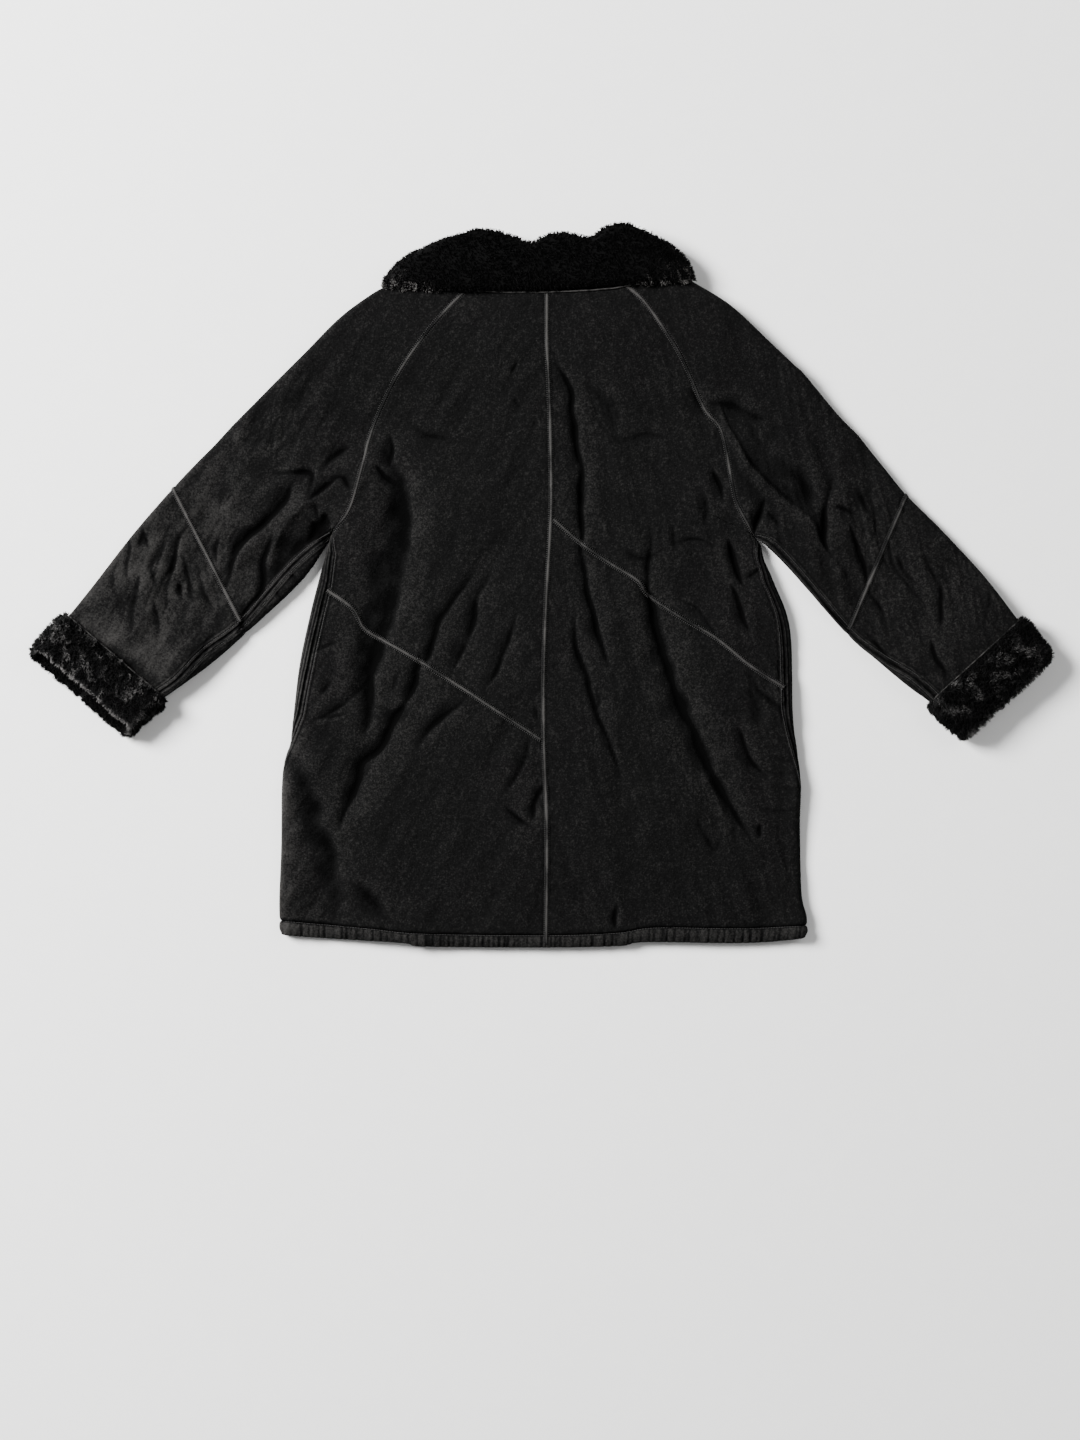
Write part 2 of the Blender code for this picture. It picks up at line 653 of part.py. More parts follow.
def cuff_place(side, along, place, beyond=0.0):
    """A plan point of the wrist's ring; place is -1 on its upper fold and 1 on its lower."""
    cuff = CUFF[side]
    half = CUFF_HALF[side][0] + (CUFF_HALF[side][1] - CUFF_HALF[side][0]) * along / cuff.lower
    aside = place * half + beyond
    return (
        cuff.mid_x + cuff.along_x * along + cuff.across_x * aside,
        cuff.mid_y + cuff.along_y * along + cuff.across_y * aside,
    )


def cuff_band(side):
    cuff = CUFF[side]
    mid_z, half_z = LIFT + LIE / 2, LIE / 2
    loops = []
    for place, angle in ring_stations(6, 6, (-0.33, -1), (1, 0.33)):
        share = ((1 + sin(angle)) / 2) ** 2
        reach = cuff.lower + (cuff.upper - cuff.lower) * share
        loop = []
        for along, out in cuff_profile(reach):
            beyond = (EDGE_RADIUS + out) * cos(angle) - place * EDGE_RADIUS
            x, y = cuff_place(side, along, place, beyond)
            loop.append((x, y, mid_z + (half_z + out) * sin(angle)))
        loops.append(loop)
    return loops


def collar_profile(height, hang):
    """The turned-over collar: stand inside, roll at the top, fall of fur outside."""
    return [
        Profile(0.5, 0), Profile(0.5, -WALL + 0.6), Profile(height - 12, -WALL + 0.6),
        Profile(height - 3, -WALL * 0.3), Profile(height, FUR * 0.4),
        Profile(height - 3, FUR * 0.85), Profile(height - 12, FUR + FUR_GAP),
        Profile(6, FUR + FUR_GAP), Profile(1 - hang, FUR * 0.7), Profile(0.5 - hang, FUR_GAP + 2),
        Profile(1 - hang, FUR_GAP), Profile(height - 14, FUR_GAP), Profile(height - 15, 0),
    ]


def collar_band():
    mid_z, half_z = LIFT + LIE / 2, LIE / 2
    hump_x = [hump.x for hump in HUMPS]
    hump_rise = [hump.rise for hump in HUMPS]
    foot_half, top_half = COLLAR_NECK.y - EDGE_RADIUS, COLLAR_TOP.y - EDGE_RADIUS
    under = []
    for side, outward in OUTWARD.items():
        seam = (RAGLAN[side][0].x - COLLAR_NECK.x) / foot_half
        end = (CENTRE_FRONT + outward * COLLAR_PART - COLLAR_NECK.x) / foot_half
        under.append(list(np.linspace(end, seam, 5)) + list(np.linspace(seam, outward, 4))[1:])
    loops = []
    for place, angle in ring_stations(22, 6, under[0], under[1][::-1]):
        loop = []
        foot_x = COLLAR_NECK.x + place * foot_half
        top_x = COLLAR_TOP.x + place * top_half
        fold_x = foot_x + EDGE_RADIUS * cos(angle)
        foot_y = front_neck_y(fold_x) if sin(angle) < -0.99 else height_at(NECK_SEAM, fold_x)
        rolled_x = top_x + (EDGE_RADIUS + FUR) * cos(angle)
        top_y = COLLAR_TOP_Y + float(np.interp(rolled_x, hump_x, hump_rise))
        if sin(angle) < 0:
            top_y -= COLLAR_FRONT_LOWER * -sin(angle)
        swell = COLLAR_SWELL["left" if place < 0 else "right"] * abs(place) ** 5
        height = hypot(top_x - foot_x, top_y - foot_y)
        for along, out in collar_profile(height, COLLAR_HANG * sin(angle) ** 4):
            t = along / height
            x = foot_x + (top_x - foot_x) * t + (EDGE_RADIUS + out) * cos(angle)
            # The swell is greatest a third of the way up.
            y = foot_y + (top_y - foot_y) * t + swell * 2.6 * max(t, 0) ** 0.5 * (1 - t)
            loop.append((x, y, mid_z + (half_z + out) * sin(angle)))
        loops.append(loop)
    return loops


# ---------------------------------------------------------------- straps over seams


def cut_back(points, start, end):
    """A line of points shortened at both ends; points carry several columns together."""
    points = [np.array(point, float) for point in points]
    for first, second, by in ((0, 1, start), (-1, -2, end)):
        while by > 0:
            step = points[second] - points[first]
            length = np.linalg.norm(step[:3])
            if by < length * 0.8:
                points[first] = points[first] + step * by / length
                break
            by -= length
            points.pop(first)
            by = max(by, 1.0)
    return points


def add_strap(name, edge_a, beside_a, edge_b, beside_b, start, end):
    """A narrow band over a seam, made from the points of the panels on both sides."""
    rows = np.hstack([edge_a, beside_a, edge_b, beside_b])
    loops = []
    for row in cut_back(rows, start, end):
        a, a_in, b, b_in = row.reshape(4, 3)
        corner_a = a + (a_in - a) * STRAP_HALF / np.linalg.norm(a_in - a)
        corner_b = b + (b_in - b) * STRAP_HALF / np.linalg.norm(b_in - b)
        over = max(0.0, (a[2] + b[2] - corner_a[2] - corner_b[2]) / 2) + STRAP_GAP
        up = np.array([0, 0, 1.0])
        low, high = up * over, up * (over + STRAP_THICK)
        loops.append([corner_a + low, corner_b + low, corner_b + high, corner_a + high])
    add_band(name, loops, False, "strap")


def at_heights(column, ys):
    """A panel's column of points read at given y."""
    order = np.argsort(column[:, 1])
    return np.column_stack([np.interp(ys, column[order, 1], column[order, k]) for k in range(3)])


# ---------------------------------------------------------------- the coat


def build_coat():
    grids = {}
    for side in OUTWARD:
        upper, lower = back_panels(side)
        grids[side, "back_upper"] = add_sheet(f"back_{side}_upper", upper)
        grids[side, "back_lower"] = add_sheet(f"back_{side}_lower", lower)
        add_sheet(f"front_{side}", front_panel(side))
        add_sheet(f"hem_back_{side}", hem_band(side, 1, BACK_PUCKERS))
        add_sheet(f"hem_front_{side}", hem_band(side, -1, 0))
        near, far = sleeve_parts(side)
        grids[side, "sleeve_upper"] = add_sheet(f"sleeve_{side}_upper", near)
        grids[side, "sleeve_lower"] = add_sheet(f"sleeve_{side}_lower", far)
        add_band(f"cuff_{side}", cuff_band(side), True, "wool")
    add_band("collar", collar_band(), False, "wool")
    return grids


def build_straps(grids):
    for side in OUTWARD:
        upper, lower = grids[side, "back_upper"], grids[side, "back_lower"]
        near, far = grids[side, "sleeve_upper"], grids[side, "sleeve_lower"]
        add_strap(
            f"strap_yoke_{side}", upper[0], upper[1], lower[-1], lower[-2],
            start=2.0, end=STRAP_HALF + 1.5,
        )
        count = RAGLAN_STEPS[side]
        add_strap(
            f"strap_raglan_{side}", upper[::-1][:count, 0], upper[::-1][:count, 1],
            near[:count, 0], near[:count, 1], start=8.0, end=0.0,
        )
        add_strap(
            f"strap_elbow_{side}", near[-1][:10], near[-2][:10], far[0][:10], far[1][:10],
            start=4.0, end=0.0,
        )
    ys = np.linspace(
        CENTRE[0][1] - 8.0, height_at(STITCH, CENTRE[-1][0]) + 2.0, 34
    )
    lines = []
    for side in OUTWARD:
        upper, lower = grids[side, "back_upper"], grids[side, "back_lower"]
        for column in (-1, -2):
            lines.append(at_heights(np.vstack([lower[:, column], upper[:, column]]), ys))
    add_strap("strap_centre_back", *lines, start=0.0, end=0.0)


def centre_over_origin():
    """Moves the whole coat so that its box stands centred over the origin."""
    corners = []
    for made in bpy.data.objects:
        corners += [vertex.co[:] for vertex in made.data.vertices]
    corners = np.array(corners)
    low, high = corners.min(axis=0), corners.max(axis=0)
    shift = np.array([(low[0] + high[0]) / 2, (low[1] + high[1]) / 2, low[2]])
    for made in bpy.data.objects:
        for vertex in made.data.vertices:
            vertex.co = (np.array(vertex.co) - shift).tolist()
        made.data.update()


for old in list(bpy.data.objects):
    bpy.data.objects.remove(old)
build_straps(build_coat())
centre_over_origin()
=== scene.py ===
# %% [markdown]
# # A long black sheepskin coat, laid flat with its back up
# A sheepskin coat is sewn from skins that keep their wool. The wool is on the inside. The
# flesh side is brushed to a suede nap and dyed black, and it is what one sees. Collar and
# cuffs are turned back, so that they show long black wool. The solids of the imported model
# have the coat's true size. This lesson clothes them: finer folds, seams, stitches and fur.

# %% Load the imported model
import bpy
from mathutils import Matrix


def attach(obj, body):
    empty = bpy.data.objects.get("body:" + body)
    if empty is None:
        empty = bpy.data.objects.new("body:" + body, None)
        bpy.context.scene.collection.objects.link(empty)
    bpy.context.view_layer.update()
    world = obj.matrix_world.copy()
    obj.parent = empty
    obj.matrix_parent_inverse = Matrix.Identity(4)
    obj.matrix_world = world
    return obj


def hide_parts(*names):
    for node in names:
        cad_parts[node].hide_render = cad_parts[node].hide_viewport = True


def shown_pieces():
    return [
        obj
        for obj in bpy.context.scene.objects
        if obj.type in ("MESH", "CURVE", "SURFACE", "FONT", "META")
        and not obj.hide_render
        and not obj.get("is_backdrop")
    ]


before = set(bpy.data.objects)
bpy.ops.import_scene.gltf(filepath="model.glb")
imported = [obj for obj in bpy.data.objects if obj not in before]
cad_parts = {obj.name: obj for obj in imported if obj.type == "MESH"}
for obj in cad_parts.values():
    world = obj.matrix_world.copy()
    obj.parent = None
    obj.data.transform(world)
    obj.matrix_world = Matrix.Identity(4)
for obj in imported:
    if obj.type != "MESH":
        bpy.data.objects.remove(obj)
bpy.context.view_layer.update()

from math import cos, pi, sin

import bpy
import numpy as np
from mathutils import Vector

# %% [markdown]
# ## The pattern
# A coat maker works from a paper pattern: the lines where pieces are cut and sewn. The same
# lines, in millimetres, shaped the solids: x runs across the coat, y from the hem to the
# collar. They could be drawn as curves by hand, but as tables they stay the same as the
# solids' own, so each piece of cloth lands on its solid.

# %% Sizes and lines of the pattern, in millimetres
MM = 0.001
MIDDLE = np.array([-0.2, -1.97, 0.0])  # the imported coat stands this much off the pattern
WALL = 6.5  # leather with its wool pressed down
AIR = 3.5  # hollow between back and fronts
LIE = 2 * WALL + AIR
EDGE_RADIUS, EDGE_QUARTER = 8.5, 13.2  # a folded edge: its reach, and cloth in a quarter of it
FUR, FUR_GAP = 10.2, 0.6
LIFT = FUR + FUR_GAP + 0.1  # neck and wrists lie on the fur below them
NECK_RAMP, WRIST_RAMP, SLEEVE_FROM = (190.0, 335.0), (-150.0, -12.0), 360.0


def places_in(text):
    """Places from a table: numbers with commas, and a blank between places."""
    return [tuple(float(number) for number in place.split(",")) for place in text.split()]


CENTRE_BACK = places_in("""
    7,385 7,313 10,246 12,164 12,88 6,-20 3,-110 3,-204 7,-320 6,-460""")
RAGLAN = {
    "left": places_in("""
        -95,384 -122,358 -155,319 -185,276 -209,229 -224,191 -234,152 -250,98 -272,70"""),
    "right": places_in("""
        104,392 129,371 150,344 177,303 194,268 213,226 234,199 248,130 255,103 276,65"""),
}
YOKE = {
    "left": places_in("""
        3,-204 -60,-163 -109,-131 -158,-100 -203,-74 -231,-57 -246,-31 -282,-5"""),
    "right": places_in("""
        12,88 51,54 90,27 125,5 138,-13 180,-42 226,-69 271,-105 317,-135"""),
}
# Body's outermost line: x, y, and the cloth from it to the side seam (above 0 on the back).
SIDE = {
    "left": places_in("""
        -256,112,0 -272,70,0 -280,43,12 -291,4,18 -302,-40,18 -315.5,-105,17 -323,-168,12
        -327,-205,0 -337,-245,-8 -339,-344,-8 -341.5,-417,-8 -339,-480,-8"""),
    "right": places_in("""
        265,108,0 276,65,0 285,52,6 288.5,35,10 302,4,15 323.5,-58,15 327,-168,14 332,-214,8
        337,-258,0 336,-308,-8 338,-400,-8 345,-436,-8 342,-480,-8"""),
}
STITCH_LINE = places_in("""
    -360,-435 -284,-442 -227,-447 -150,-454 4,-456 97,-453 148,-446 266,-447 360,-442""")
HEM_LINE = places_in("""
    -360,-454 -284,-460 -183,-466 -150,-471 7,-472 102,-470 136,-465 273,-466 360,-458""")
NECK = places_in("""
    -200,388 -95,384 7,385 104,392 190,397""")
FRONT_NECK_DROP, CENTRE_FRONT = 42.0, 4.0

# %% Sizes and lines of the sleeves, collar and cuffs
SHOULDER = {
    "left": places_in("""
        -200,388 -220,378 -262,347 -309.5,299.5 -356.5,253.5 -404.5,205.5"""),
    "right": places_in("""
        190,397 244,364 294.5,317.5 328,286 343,272 386,221 412,195"""),
}
# From the armpit down: upper fold, lower fold, and cloth from there to the underarm seam.
SLEEVE = {
    "left": places_in("""
        -404.5,205.5,-272,70,0 -426.5,181.5,-284,45,16 -448,160,-315.5,2,27
        -480,126,-384.5,-62.5,18 -532,66,-427,-100.5,22 -585,-4,-466,-130,14"""),
    "right": places_in("""
        412,195,276,65,0 430,172,292,51,10 446,152,323,20,10 475,117,398,-64,8 520,72,438,-100,11
        572.5,14.5,475,-131.5,18"""),
}
ELBOW_SECTION, WRIST_SEAM, CUFF_SLEEVE = 3, 14.0, 26.0
# Middle of the cuff's upper edge, ways to the wrist and to the lower fold, two reaches.
CUFF = {
    "left": (-554.5, -96, -0.703, -0.711, 0.76, -0.65, 56, 71),
    "right": (563, -101, 0.674, -0.739, -0.7375, -0.675, 67, 65),
}
CUFF_HALF = {"left": (81.5, 76.0), "right": (78.0, 71.0)}
COLLAR_NECK, COLLAR_TOP, COLLAR_TOP_Y = (-5, 195), (13.5, 104), 456.0
COLLAR_FRONT_LOWER, COLLAR_HANG, COLLAR_PART = 6.0, 4.5, 1.0
COLLAR_SWELL = {"left": 17.0, "right": 18.0}
HUMPS = places_in("""
    -101,-3 -81,4 -60,3 -36,-3 -10,-11 6,-2 24,2 42,0 60,-5 75,6 95,13 114,9 128,-2""")
OUTWARD = {"left": -1, "right": 1}

# %% Curves through the tables
def smooth(points, per_span=12):
    """A soft curve through points, as a dense array."""
    points = np.array(points, float)
    ends = np.vstack([2 * points[0] - points[1], points, 2 * points[-1] - points[-2]])
    t = np.linspace(0, 1, per_span, endpoint=False)[:, None]
    spans = []
    for a, b, c, d in zip(ends, ends[1:], ends[2:], ends[3:]):
        bend = (2 * a - 5 * b + 4 * c - d) * t**2 + (3 * b - a - 3 * c + d) * t**3
        spans.append(0.5 * (2 * b + (c - a) * t + bend))
    return np.vstack(spans + [points[-1:]])


def shares(line):
    """How far along a line each of its points is, from 0 to 1."""
    lengths = np.linalg.norm(np.diff(line[:, :3], axis=0), axis=1)
    return np.concatenate([[0], np.cumsum(lengths)]) / lengths.sum()


def length_of(line):
    return np.linalg.norm(np.diff(line, axis=0), axis=1).sum()


def spread(line, fractions):
    """Points of a line at these fractions of its length."""
    at = shares(line)
    return np.column_stack([np.interp(fractions, at, line[:, k]) for k in range(line.shape[1])])


def height_on(line, x):
    return np.interp(x, line[:, 0], line[:, 1])


def between(line, start_y, end_y):
    """The stretch of a line between two heights, from the first to the second."""
    low, high = sorted((start_y, end_y))
    inside = line[(line[:, 1] > low + 0.5) & (line[:, 1] < high - 0.5)]
    order = np.argsort(line[:, 1])
    ends = [[np.interp(y, line[order, 1], line[order, 0]), y] for y in (start_y, end_y)]
    if (inside[-1][1] - inside[0][1]) * (end_y - start_y) < 0:
        inside = inside[::-1]
    return np.vstack([ends[:1], inside, ends[1:]])


def soft_step(value, start, end):
    t = np.clip((value - start) / (end - start), 0, 1)
    return t * t * (3 - 2 * t)


def bump(value, width):
    """A soft hill: 1 where the value is nought, and gone about two widths away."""
    return np.exp(-((value / width) ** 2))


def unit(vectors):
    return vectors / (np.linalg.norm(vectors, axis=-1, keepdims=True) + 1e-9)


CENTRE, STITCH, HEM = smooth(CENTRE_BACK), smooth(STITCH_LINE), smooth(HEM_LINE)
NECK_SEAM = np.array(NECK)
EDGE = {side: smooth([row[:2] for row in SIDE[side]])[::-1] for side in SIDE}
ARMPIT_Y = {side: RAGLAN[side][-1][1] for side in SIDE}
YOKE_Y = {side: YOKE[side][-1][1] for side in SIDE}
HEM_Y = {side: height_on(STITCH, SIDE[side][-2][0]) for side in SIDE}
print("centre back seam:", round(length_of(CENTRE)), "mm long")

# %% [markdown]
# ## Folds
# Thick sheepskin doesn't hang in fine pleats. It buckles: a fold is a sharp trough with soft
# shoulders, and often one side stands a little higher. A cloth simulation would make folds,
# but not these ones, so each is drawn on a height map, as one would press them into clay: a
# line, a width, a depth and a lip. The map is only numbers in memory.

# %% The coat's folds, as "width,rise,lip:" and the places that each one runs through
FOLDS = {
    "the left half's long fold, below the slanting seam": """
5,-9,3: -161,-110 -166,-133 -177,-152 -190,-174 -201,-198 -213,-218 -231,-233 -239,-255 -248,-278
    -257,-302
16,-3.5,0: -157,-104 -177,-152 -201,-198 -231,-238 -254,-299""",
    "above it": """
6,-4,2: -96,6 -112,-20 -131,-50 -140,-72 -145,-94 -161,-109
5,-4,1.5: -72,6 -83,-16 -86,-42 -96,-68 -114,-110
4,-3.5,1: -33,-39 -40,-72 -51,-94 -62,-120 -71,-133
6,-3.5,1.5: -99,-147 -112,-161 -129,-174 -145,-187 -158,-204 -164,-213
3,-2,0: -8,-156 -6,-166 -6,-176
4,-4,1: -17,-204 -25,-226 -36,-252 -45,-272
4.5,-4.5,1: 2,-261 -6,-281 -12,-307
4,-2.5,0: -47,-291 -28,-307 -12,-317
4,-3,-1: -222,-123 -220,-142 -222,-168 -226,-187
3,-2,0: -184,-110 -190,-122 -197,-143""",
    "left side": """
4,-3,1: -229,-129 -248,-146 -274,-168 -297,-178
3,-2,0: -254,-168 -270,-173 -287,-174
3,-2,0: -274,-126 -281,-135 -291,-142
3,-2,0: -265,-74 -278,-77 -300,-87
13,-6,-2: -327,-226 -317,-249 -304,-281 -291,-320 -278,-362 -268,-413
9,-3.5,0: -245,-391 -222,-411 -203,-433""",
    "the broad hollow from armpit to seam": """
14,-10,0: -190,150 -180,124 -179,95 -183,65 -190,32 -195,-6 -203,-35 -213,-72 -221,-108 -226,-135
7,-7,0: -196,20 -203,-30 -213,-72 -221,-108 -225,-140 -227,-185
3.5,-3.5,1: -196,191 -189,173 -194,155
4,-5,0: -213,152 -202,140 -188,129
2.5,-2.5,0: -31,289 -36,280 -40,272
6,-1.8,0: -168,207 -149,194 -133,191 -114,185
5,-1.5,0: -37,240 -27,229""",
    "right half: the longest and deepest": """
5.5,-11,-1: 141,32 140,8 138,-6 142,-22 148,-55 158,-87 167,-120 180,-155 193,-185 209,-217
    219,-239 235,-268 252,-298
16,-3,0: 141,13 148,-55 167,-120 193,-185 219,-239 252,-298
3,2,0: 209,-236 226,-272 239,-304 255,-317""",
    "beside the centre": """
5,-4,0: 19,286 30,264 38,246 42,218 45,191
5,-7.5,0: 40,234 42,218 45,191 51,150 52,108 53,68 51,46
4,-7.5,0: 51,40 55,13 63,-20 70,-46 77,-74 83,-94
4,-4.5,0: 41,-39 45,-72 54,-110 64,-142 73,-172 83,-191 90,-213 99,-242
3,-2,0: 72,-135 75,-155 67,-165
8,-2.2,0: 60,256 79,237 88,224 96,191
6,-1.3,0: 84,198 104,188 140,194 166,190
5,-3,0: 194,256 205,234 214,220
4,-5,0: 224,147 231,130 233,110
6,-2,0: 209,122 213,100 212,78
4.5,-8,0: 244,56 252,32 260,4
5,-7,0: 248,-4 257,-20 265,-38 271,-55
3,-1.5,0: 172,76 175,44
5,-1.5,0: 96,51 118,38 140,35 161,51
3.5,-4,1.5: 255,-187 261,-207 274,-229 292,-249
5,-2.5,0: 272,-120 281,-139 304,-155 319,-181
8,-3,0: 268,-138 276,-160 280,-180
2.5,-1.8,0: 252,-310 252,-336
3,-3,0: 284,-311 282,-328
4,-2,0: 203,-304 213,-324 226,-343 232,-330
3,-4,0: 98,-415 96,-430 94,-448
3,-2,0: 265,-436 271,-443
3,-2,0: 266,10 285,23
3,-0.9,0: 300,-222 316,-228 329,-229
3,-1,0: 290,-242 312,-247 331,-246
3,-0.8,0: 296,-262 314,-268 334,-271
3,-0.9,0: 286,-290 310,-296 333,-293
2.5,-1.2,0: 170,55 198,60 221,52
3,-1.5,0: 186,-20 206,-34 225,-62""",
    "right sleeve: the ridge from the raglan to the fold": """
4,4,-3: 235,224 244,202 260,174 276,150 296,130 315,111 342,90 356,74 363,57 374,40 380,31
7,-4,0: 222,237 246,231 268,224 287,218
4,-1,0: 272,212 276,186
14,-4,0: 306,160 331,139 341,120 347,88
5,-7,0: 377,131 371,109 369,87 370,65 372,46 377,36
4,-3,0: 380,104 396,98 407,90
6,-4,0: 410,129 418,112 423,95
5,-7,0: 404,68 410,46 418,27 423,13 426,5
4.5,-4,0: 462,35 470,19 484,3
4.5,-3.5,0: 514,10 519,-12 519,-33 517,-55
4.5,-6,0: 507,-79 511,-96 522,-110 523,-124
4,2.5,0: 462,-107 486,-121 522,-122
6,-5,0: 363,-22 377,-36 396,-53
4,-2,0: 581,-8 577,-30 572,-52
3,-2,0: 416,-56 444,-88 474,-116
4,-2.5,0: 448,54 455,28 470,6 488,-16
3,-2,0: 497,36 508,14 512,-6
3,-2,0: 425,-8 440,-30 447,-52
3,-2,0: 361,22 366,32
3,-2,0: 383,27 391,22
3,-2,0: 398,3 396,16
4,-9,0: 289,107 284,87 279,69
4,-4,0: 294,95 309,79""",
    "left sleeve": """
6,-9,2: -326,126 -335,109 -351,92 -362,79 -378,65 -392,49 -403,27 -410,5
6,-8,0: -352,62 -358,43 -363,27 -362,8 -367,-12 -382,-33 -389,-49
5,4,0: -272,129 -294,114 -315,98 -330,82 -343,60 -351,40
4,-4,0: -344,147 -319,147 -300,144 -302,122
5,-2.5,0: -248,179 -270,166 -286,152
4,-6,0: -267,139 -278,130 -302,111
3.5,-3,0: -250,127 -259,139 -272,140
2.2,-4,0: -293,107 -290,86
2.2,-3,0: -307,92 -302,83
2.2,-3,0: -286,92 -278,79
9,-11,0: -280,52 -289,69 -300,82
5,-12,0: -281,90 -287,78 -296,66 -303,56
3,-2.5,0: -482,74 -494,50 -500,26 -502,8
3,-2.5,0: -468,40 -462,14 -452,-8
3.5,-2.5,0: -540,66 -536,44 -540,22 -536,4
4,-2,0: -505,-20 -497,-48 -502,-76
3,-2,0: -420,64 -424,44 -421,26
8,-7,0: -284,78 -302,62 -318,48 -335,30 -351,10
4,-1.8,0: -551,34 -557,3 -548,-28
3,-2,0: -497,52 -505,26 -500,2
3,-1.8,0: -448,22 -440,-6 -428,-28
3,-1.6,0: -440,30 -431,6 -419,-16
4.5,-5,2: -461,71 -469,60 -477,40 -481,22 -486,0 -486,-17
2.5,-2,0: -469,0 -471,-17
2.5,-2.5,0: -473,8 -466,-20
3,-2,0: -460,6 -453,-20
5,-3.5,1: -521,13 -526,-12 -532,-33 -534,-55
3,-2.5,0: -522,77 -513,46
3,-2.5,0: -526,47 -521,70
9,-4,0: -592,-62 -560,-91 -528,-107 -499,-133
3,2,0: -474,-66 -458,-73 -441,-82
3,-2,0: -362,-20 -359,-30
3,-2,0: -344,-6 -339,-16
3,-2,0: -327,12 -323,3""",
}


def folds_in(text):
    folds = []
    for word in text.split():
        numbers = tuple(float(number) for number in word.strip(":").split(","))
        if word.endswith(":"):
            folds.append((*numbers, []))
        else:
            folds[-1][-1].append(numbers)
    return folds


CREASES = [fold for text in FOLDS.values() for fold in folds_in(text)]

# %% A height map that folds are pressed into
CELL = 1.5  # millimetres from one reading to the next
MAP_CORNER, MAP_COLUMNS, MAP_ROWS = np.array([-700.0, -500.0]), 935, 668
MAP_X, MAP_Y = np.meshgrid(
    MAP_CORNER[0] + CELL * np.arange(MAP_COLUMNS), MAP_CORNER[1] + CELL * np.arange(MAP_ROWS)
)


def soften(field, along, across, turn=0.0):
    """Smooths a map over these two lengths in millimetres, turned by an angle."""
    across_x = np.fft.fftfreq(MAP_COLUMNS, CELL)[None, :]
    across_y = np.fft.fftfreq(MAP_ROWS, CELL)[:, None]
    u = across_x * cos(turn) + across_y * sin(turn)
    v = across_y * cos(turn) - across_x * sin(turn)
    keep = np.exp(-2 * ((u * along) ** 2 + (v * across) ** 2))
    return np.fft.ifft2(np.fft.fft2(field) * keep).real


def soft_noise(along, across, turn, seed):
    """Random unevenness with spots of these two sizes in millimetres, turned by an angle."""
    drawn = np.random.default_rng(seed).standard_normal((MAP_ROWS, MAP_COLUMNS))
    field = soften(drawn, along, across, turn)
    return field / field.std()


def read(field, x, y):
    """The map's value at places between its readings."""
    u = np.clip((x - MAP_CORNER[0]) / CELL, 0, MAP_COLUMNS - 1.001)
    v = np.clip((y - MAP_CORNER[1]) / CELL, 0, MAP_ROWS - 1.001)
    i, j = v.astype(int), u.astype(int)
    s, t = v - i, u - j
    low = field[i, j] * (1 - t) + field[i, j + 1] * t
    high = field[i + 1, j] * (1 - t) + field[i + 1, j + 1] * t
    return low * (1 - s) + high * s


TAIL, REACH = 0.14, 6.0  # how far a fold runs on past its line, and sideways in widths
GENTLE, STEEP = 0.62, 1.25  # how wide a fold's two sides are: the left one slopes gently
SLENDER = 7.0  # a short fold is at least this many times as long as wide
BROAD, NARROW = 10.0, 6.0  # from the first width to the second a trough gets its sharp core
SHOULDER_AT, SHOULDER_WIDTH, LIP_WIDTH = 3.0, 1.4, 2.2**0.5  # in widths of the fold
SHOULDER_RISE, LIP_RISE = 0.05, 0.7
DEEPEST, DEEPER = 12.5, 1.2  # no fold goes past the first; the second scales them all
WANDER = 1.2  # millimetres that a fold wanders off its line
WOBBLE = soft_noise(34, 34, 0, 1), soft_noise(34, 34, 0, 2), soft_noise(28, 28, 0, 3)


def press(field, width, rise, lip, places):
    """Presses one fold into the map, a little wandering and uneven as real ones are."""
    line = smooth(places, 6)
    tails = unit(line[[0, -1]] - line[[3, -4]]) * TAIL * length_of(line)
    line = np.vstack([line[0] + tails[0], line, line[-1] + tails[1]])
    width = min(width, length_of(line) / SLENDER)
    low = (line.min(axis=0) - REACH * width - MAP_CORNER) / CELL
    high = (line.max(axis=0) + REACH * width - MAP_CORNER) / CELL
    part = tuple(slice(max(int(low[k]), 0), int(high[k]) + 2) for k in (1, 0))
    x, y = MAP_X[part] + WANDER * WOBBLE[0][part], MAP_Y[part] + WANDER * WOBBLE[1][part]
    best = np.full(x.shape, 1e9)
    along, side = np.zeros_like(x), np.zeros_like(x)
    at = shares(line)
    for a, b, start, end in zip(line, line[1:], at, at[1:]):
        run = b - a
        t = np.clip(((x - a[0]) * run[0] + (y - a[1]) * run[1]) / (run @ run), 0, 1)
        off_x, off_y = x - a[0] - t * run[0], y - a[1] - t * run[1]
        gap = off_x**2 + off_y**2
        near = gap < best
        best = np.where(near, gap, best)
        along = np.where(near, start + (end - start) * t, along)
        side = np.where(near, np.sign(run[0] * off_y - run[1] * off_x), side)
    arch = np.clip(np.sin(pi * along), 0, 1)
    gap = np.sqrt(best) / (width * (0.40 + 0.60 * arch)) * np.where(side < 0, -GENTLE, STEEP)
    fade = arch**1.1 * (1 + 0.25 * WOBBLE[2][part])
    sharp = min(max((BROAD - width) / (BROAD - NARROW), 0.0), 1.0)
    trough = sharp * (0.5 * bump(gap, 0.5) + 0.25 * bump(gap, 1.1))
    trough += (1 - 0.75 * sharp) * bump(gap, 1.2 + 1.2 * sharp)
    shoulders = bump(np.abs(gap) - SHOULDER_AT, SHOULDER_WIDTH)
    field[part] += fade * DEEPER * rise * (trough - SHOULDER_RISE * shoulders)
    field[part] += LIP_RISE * fade * lip * gap * bump(gap, LIP_WIDTH)


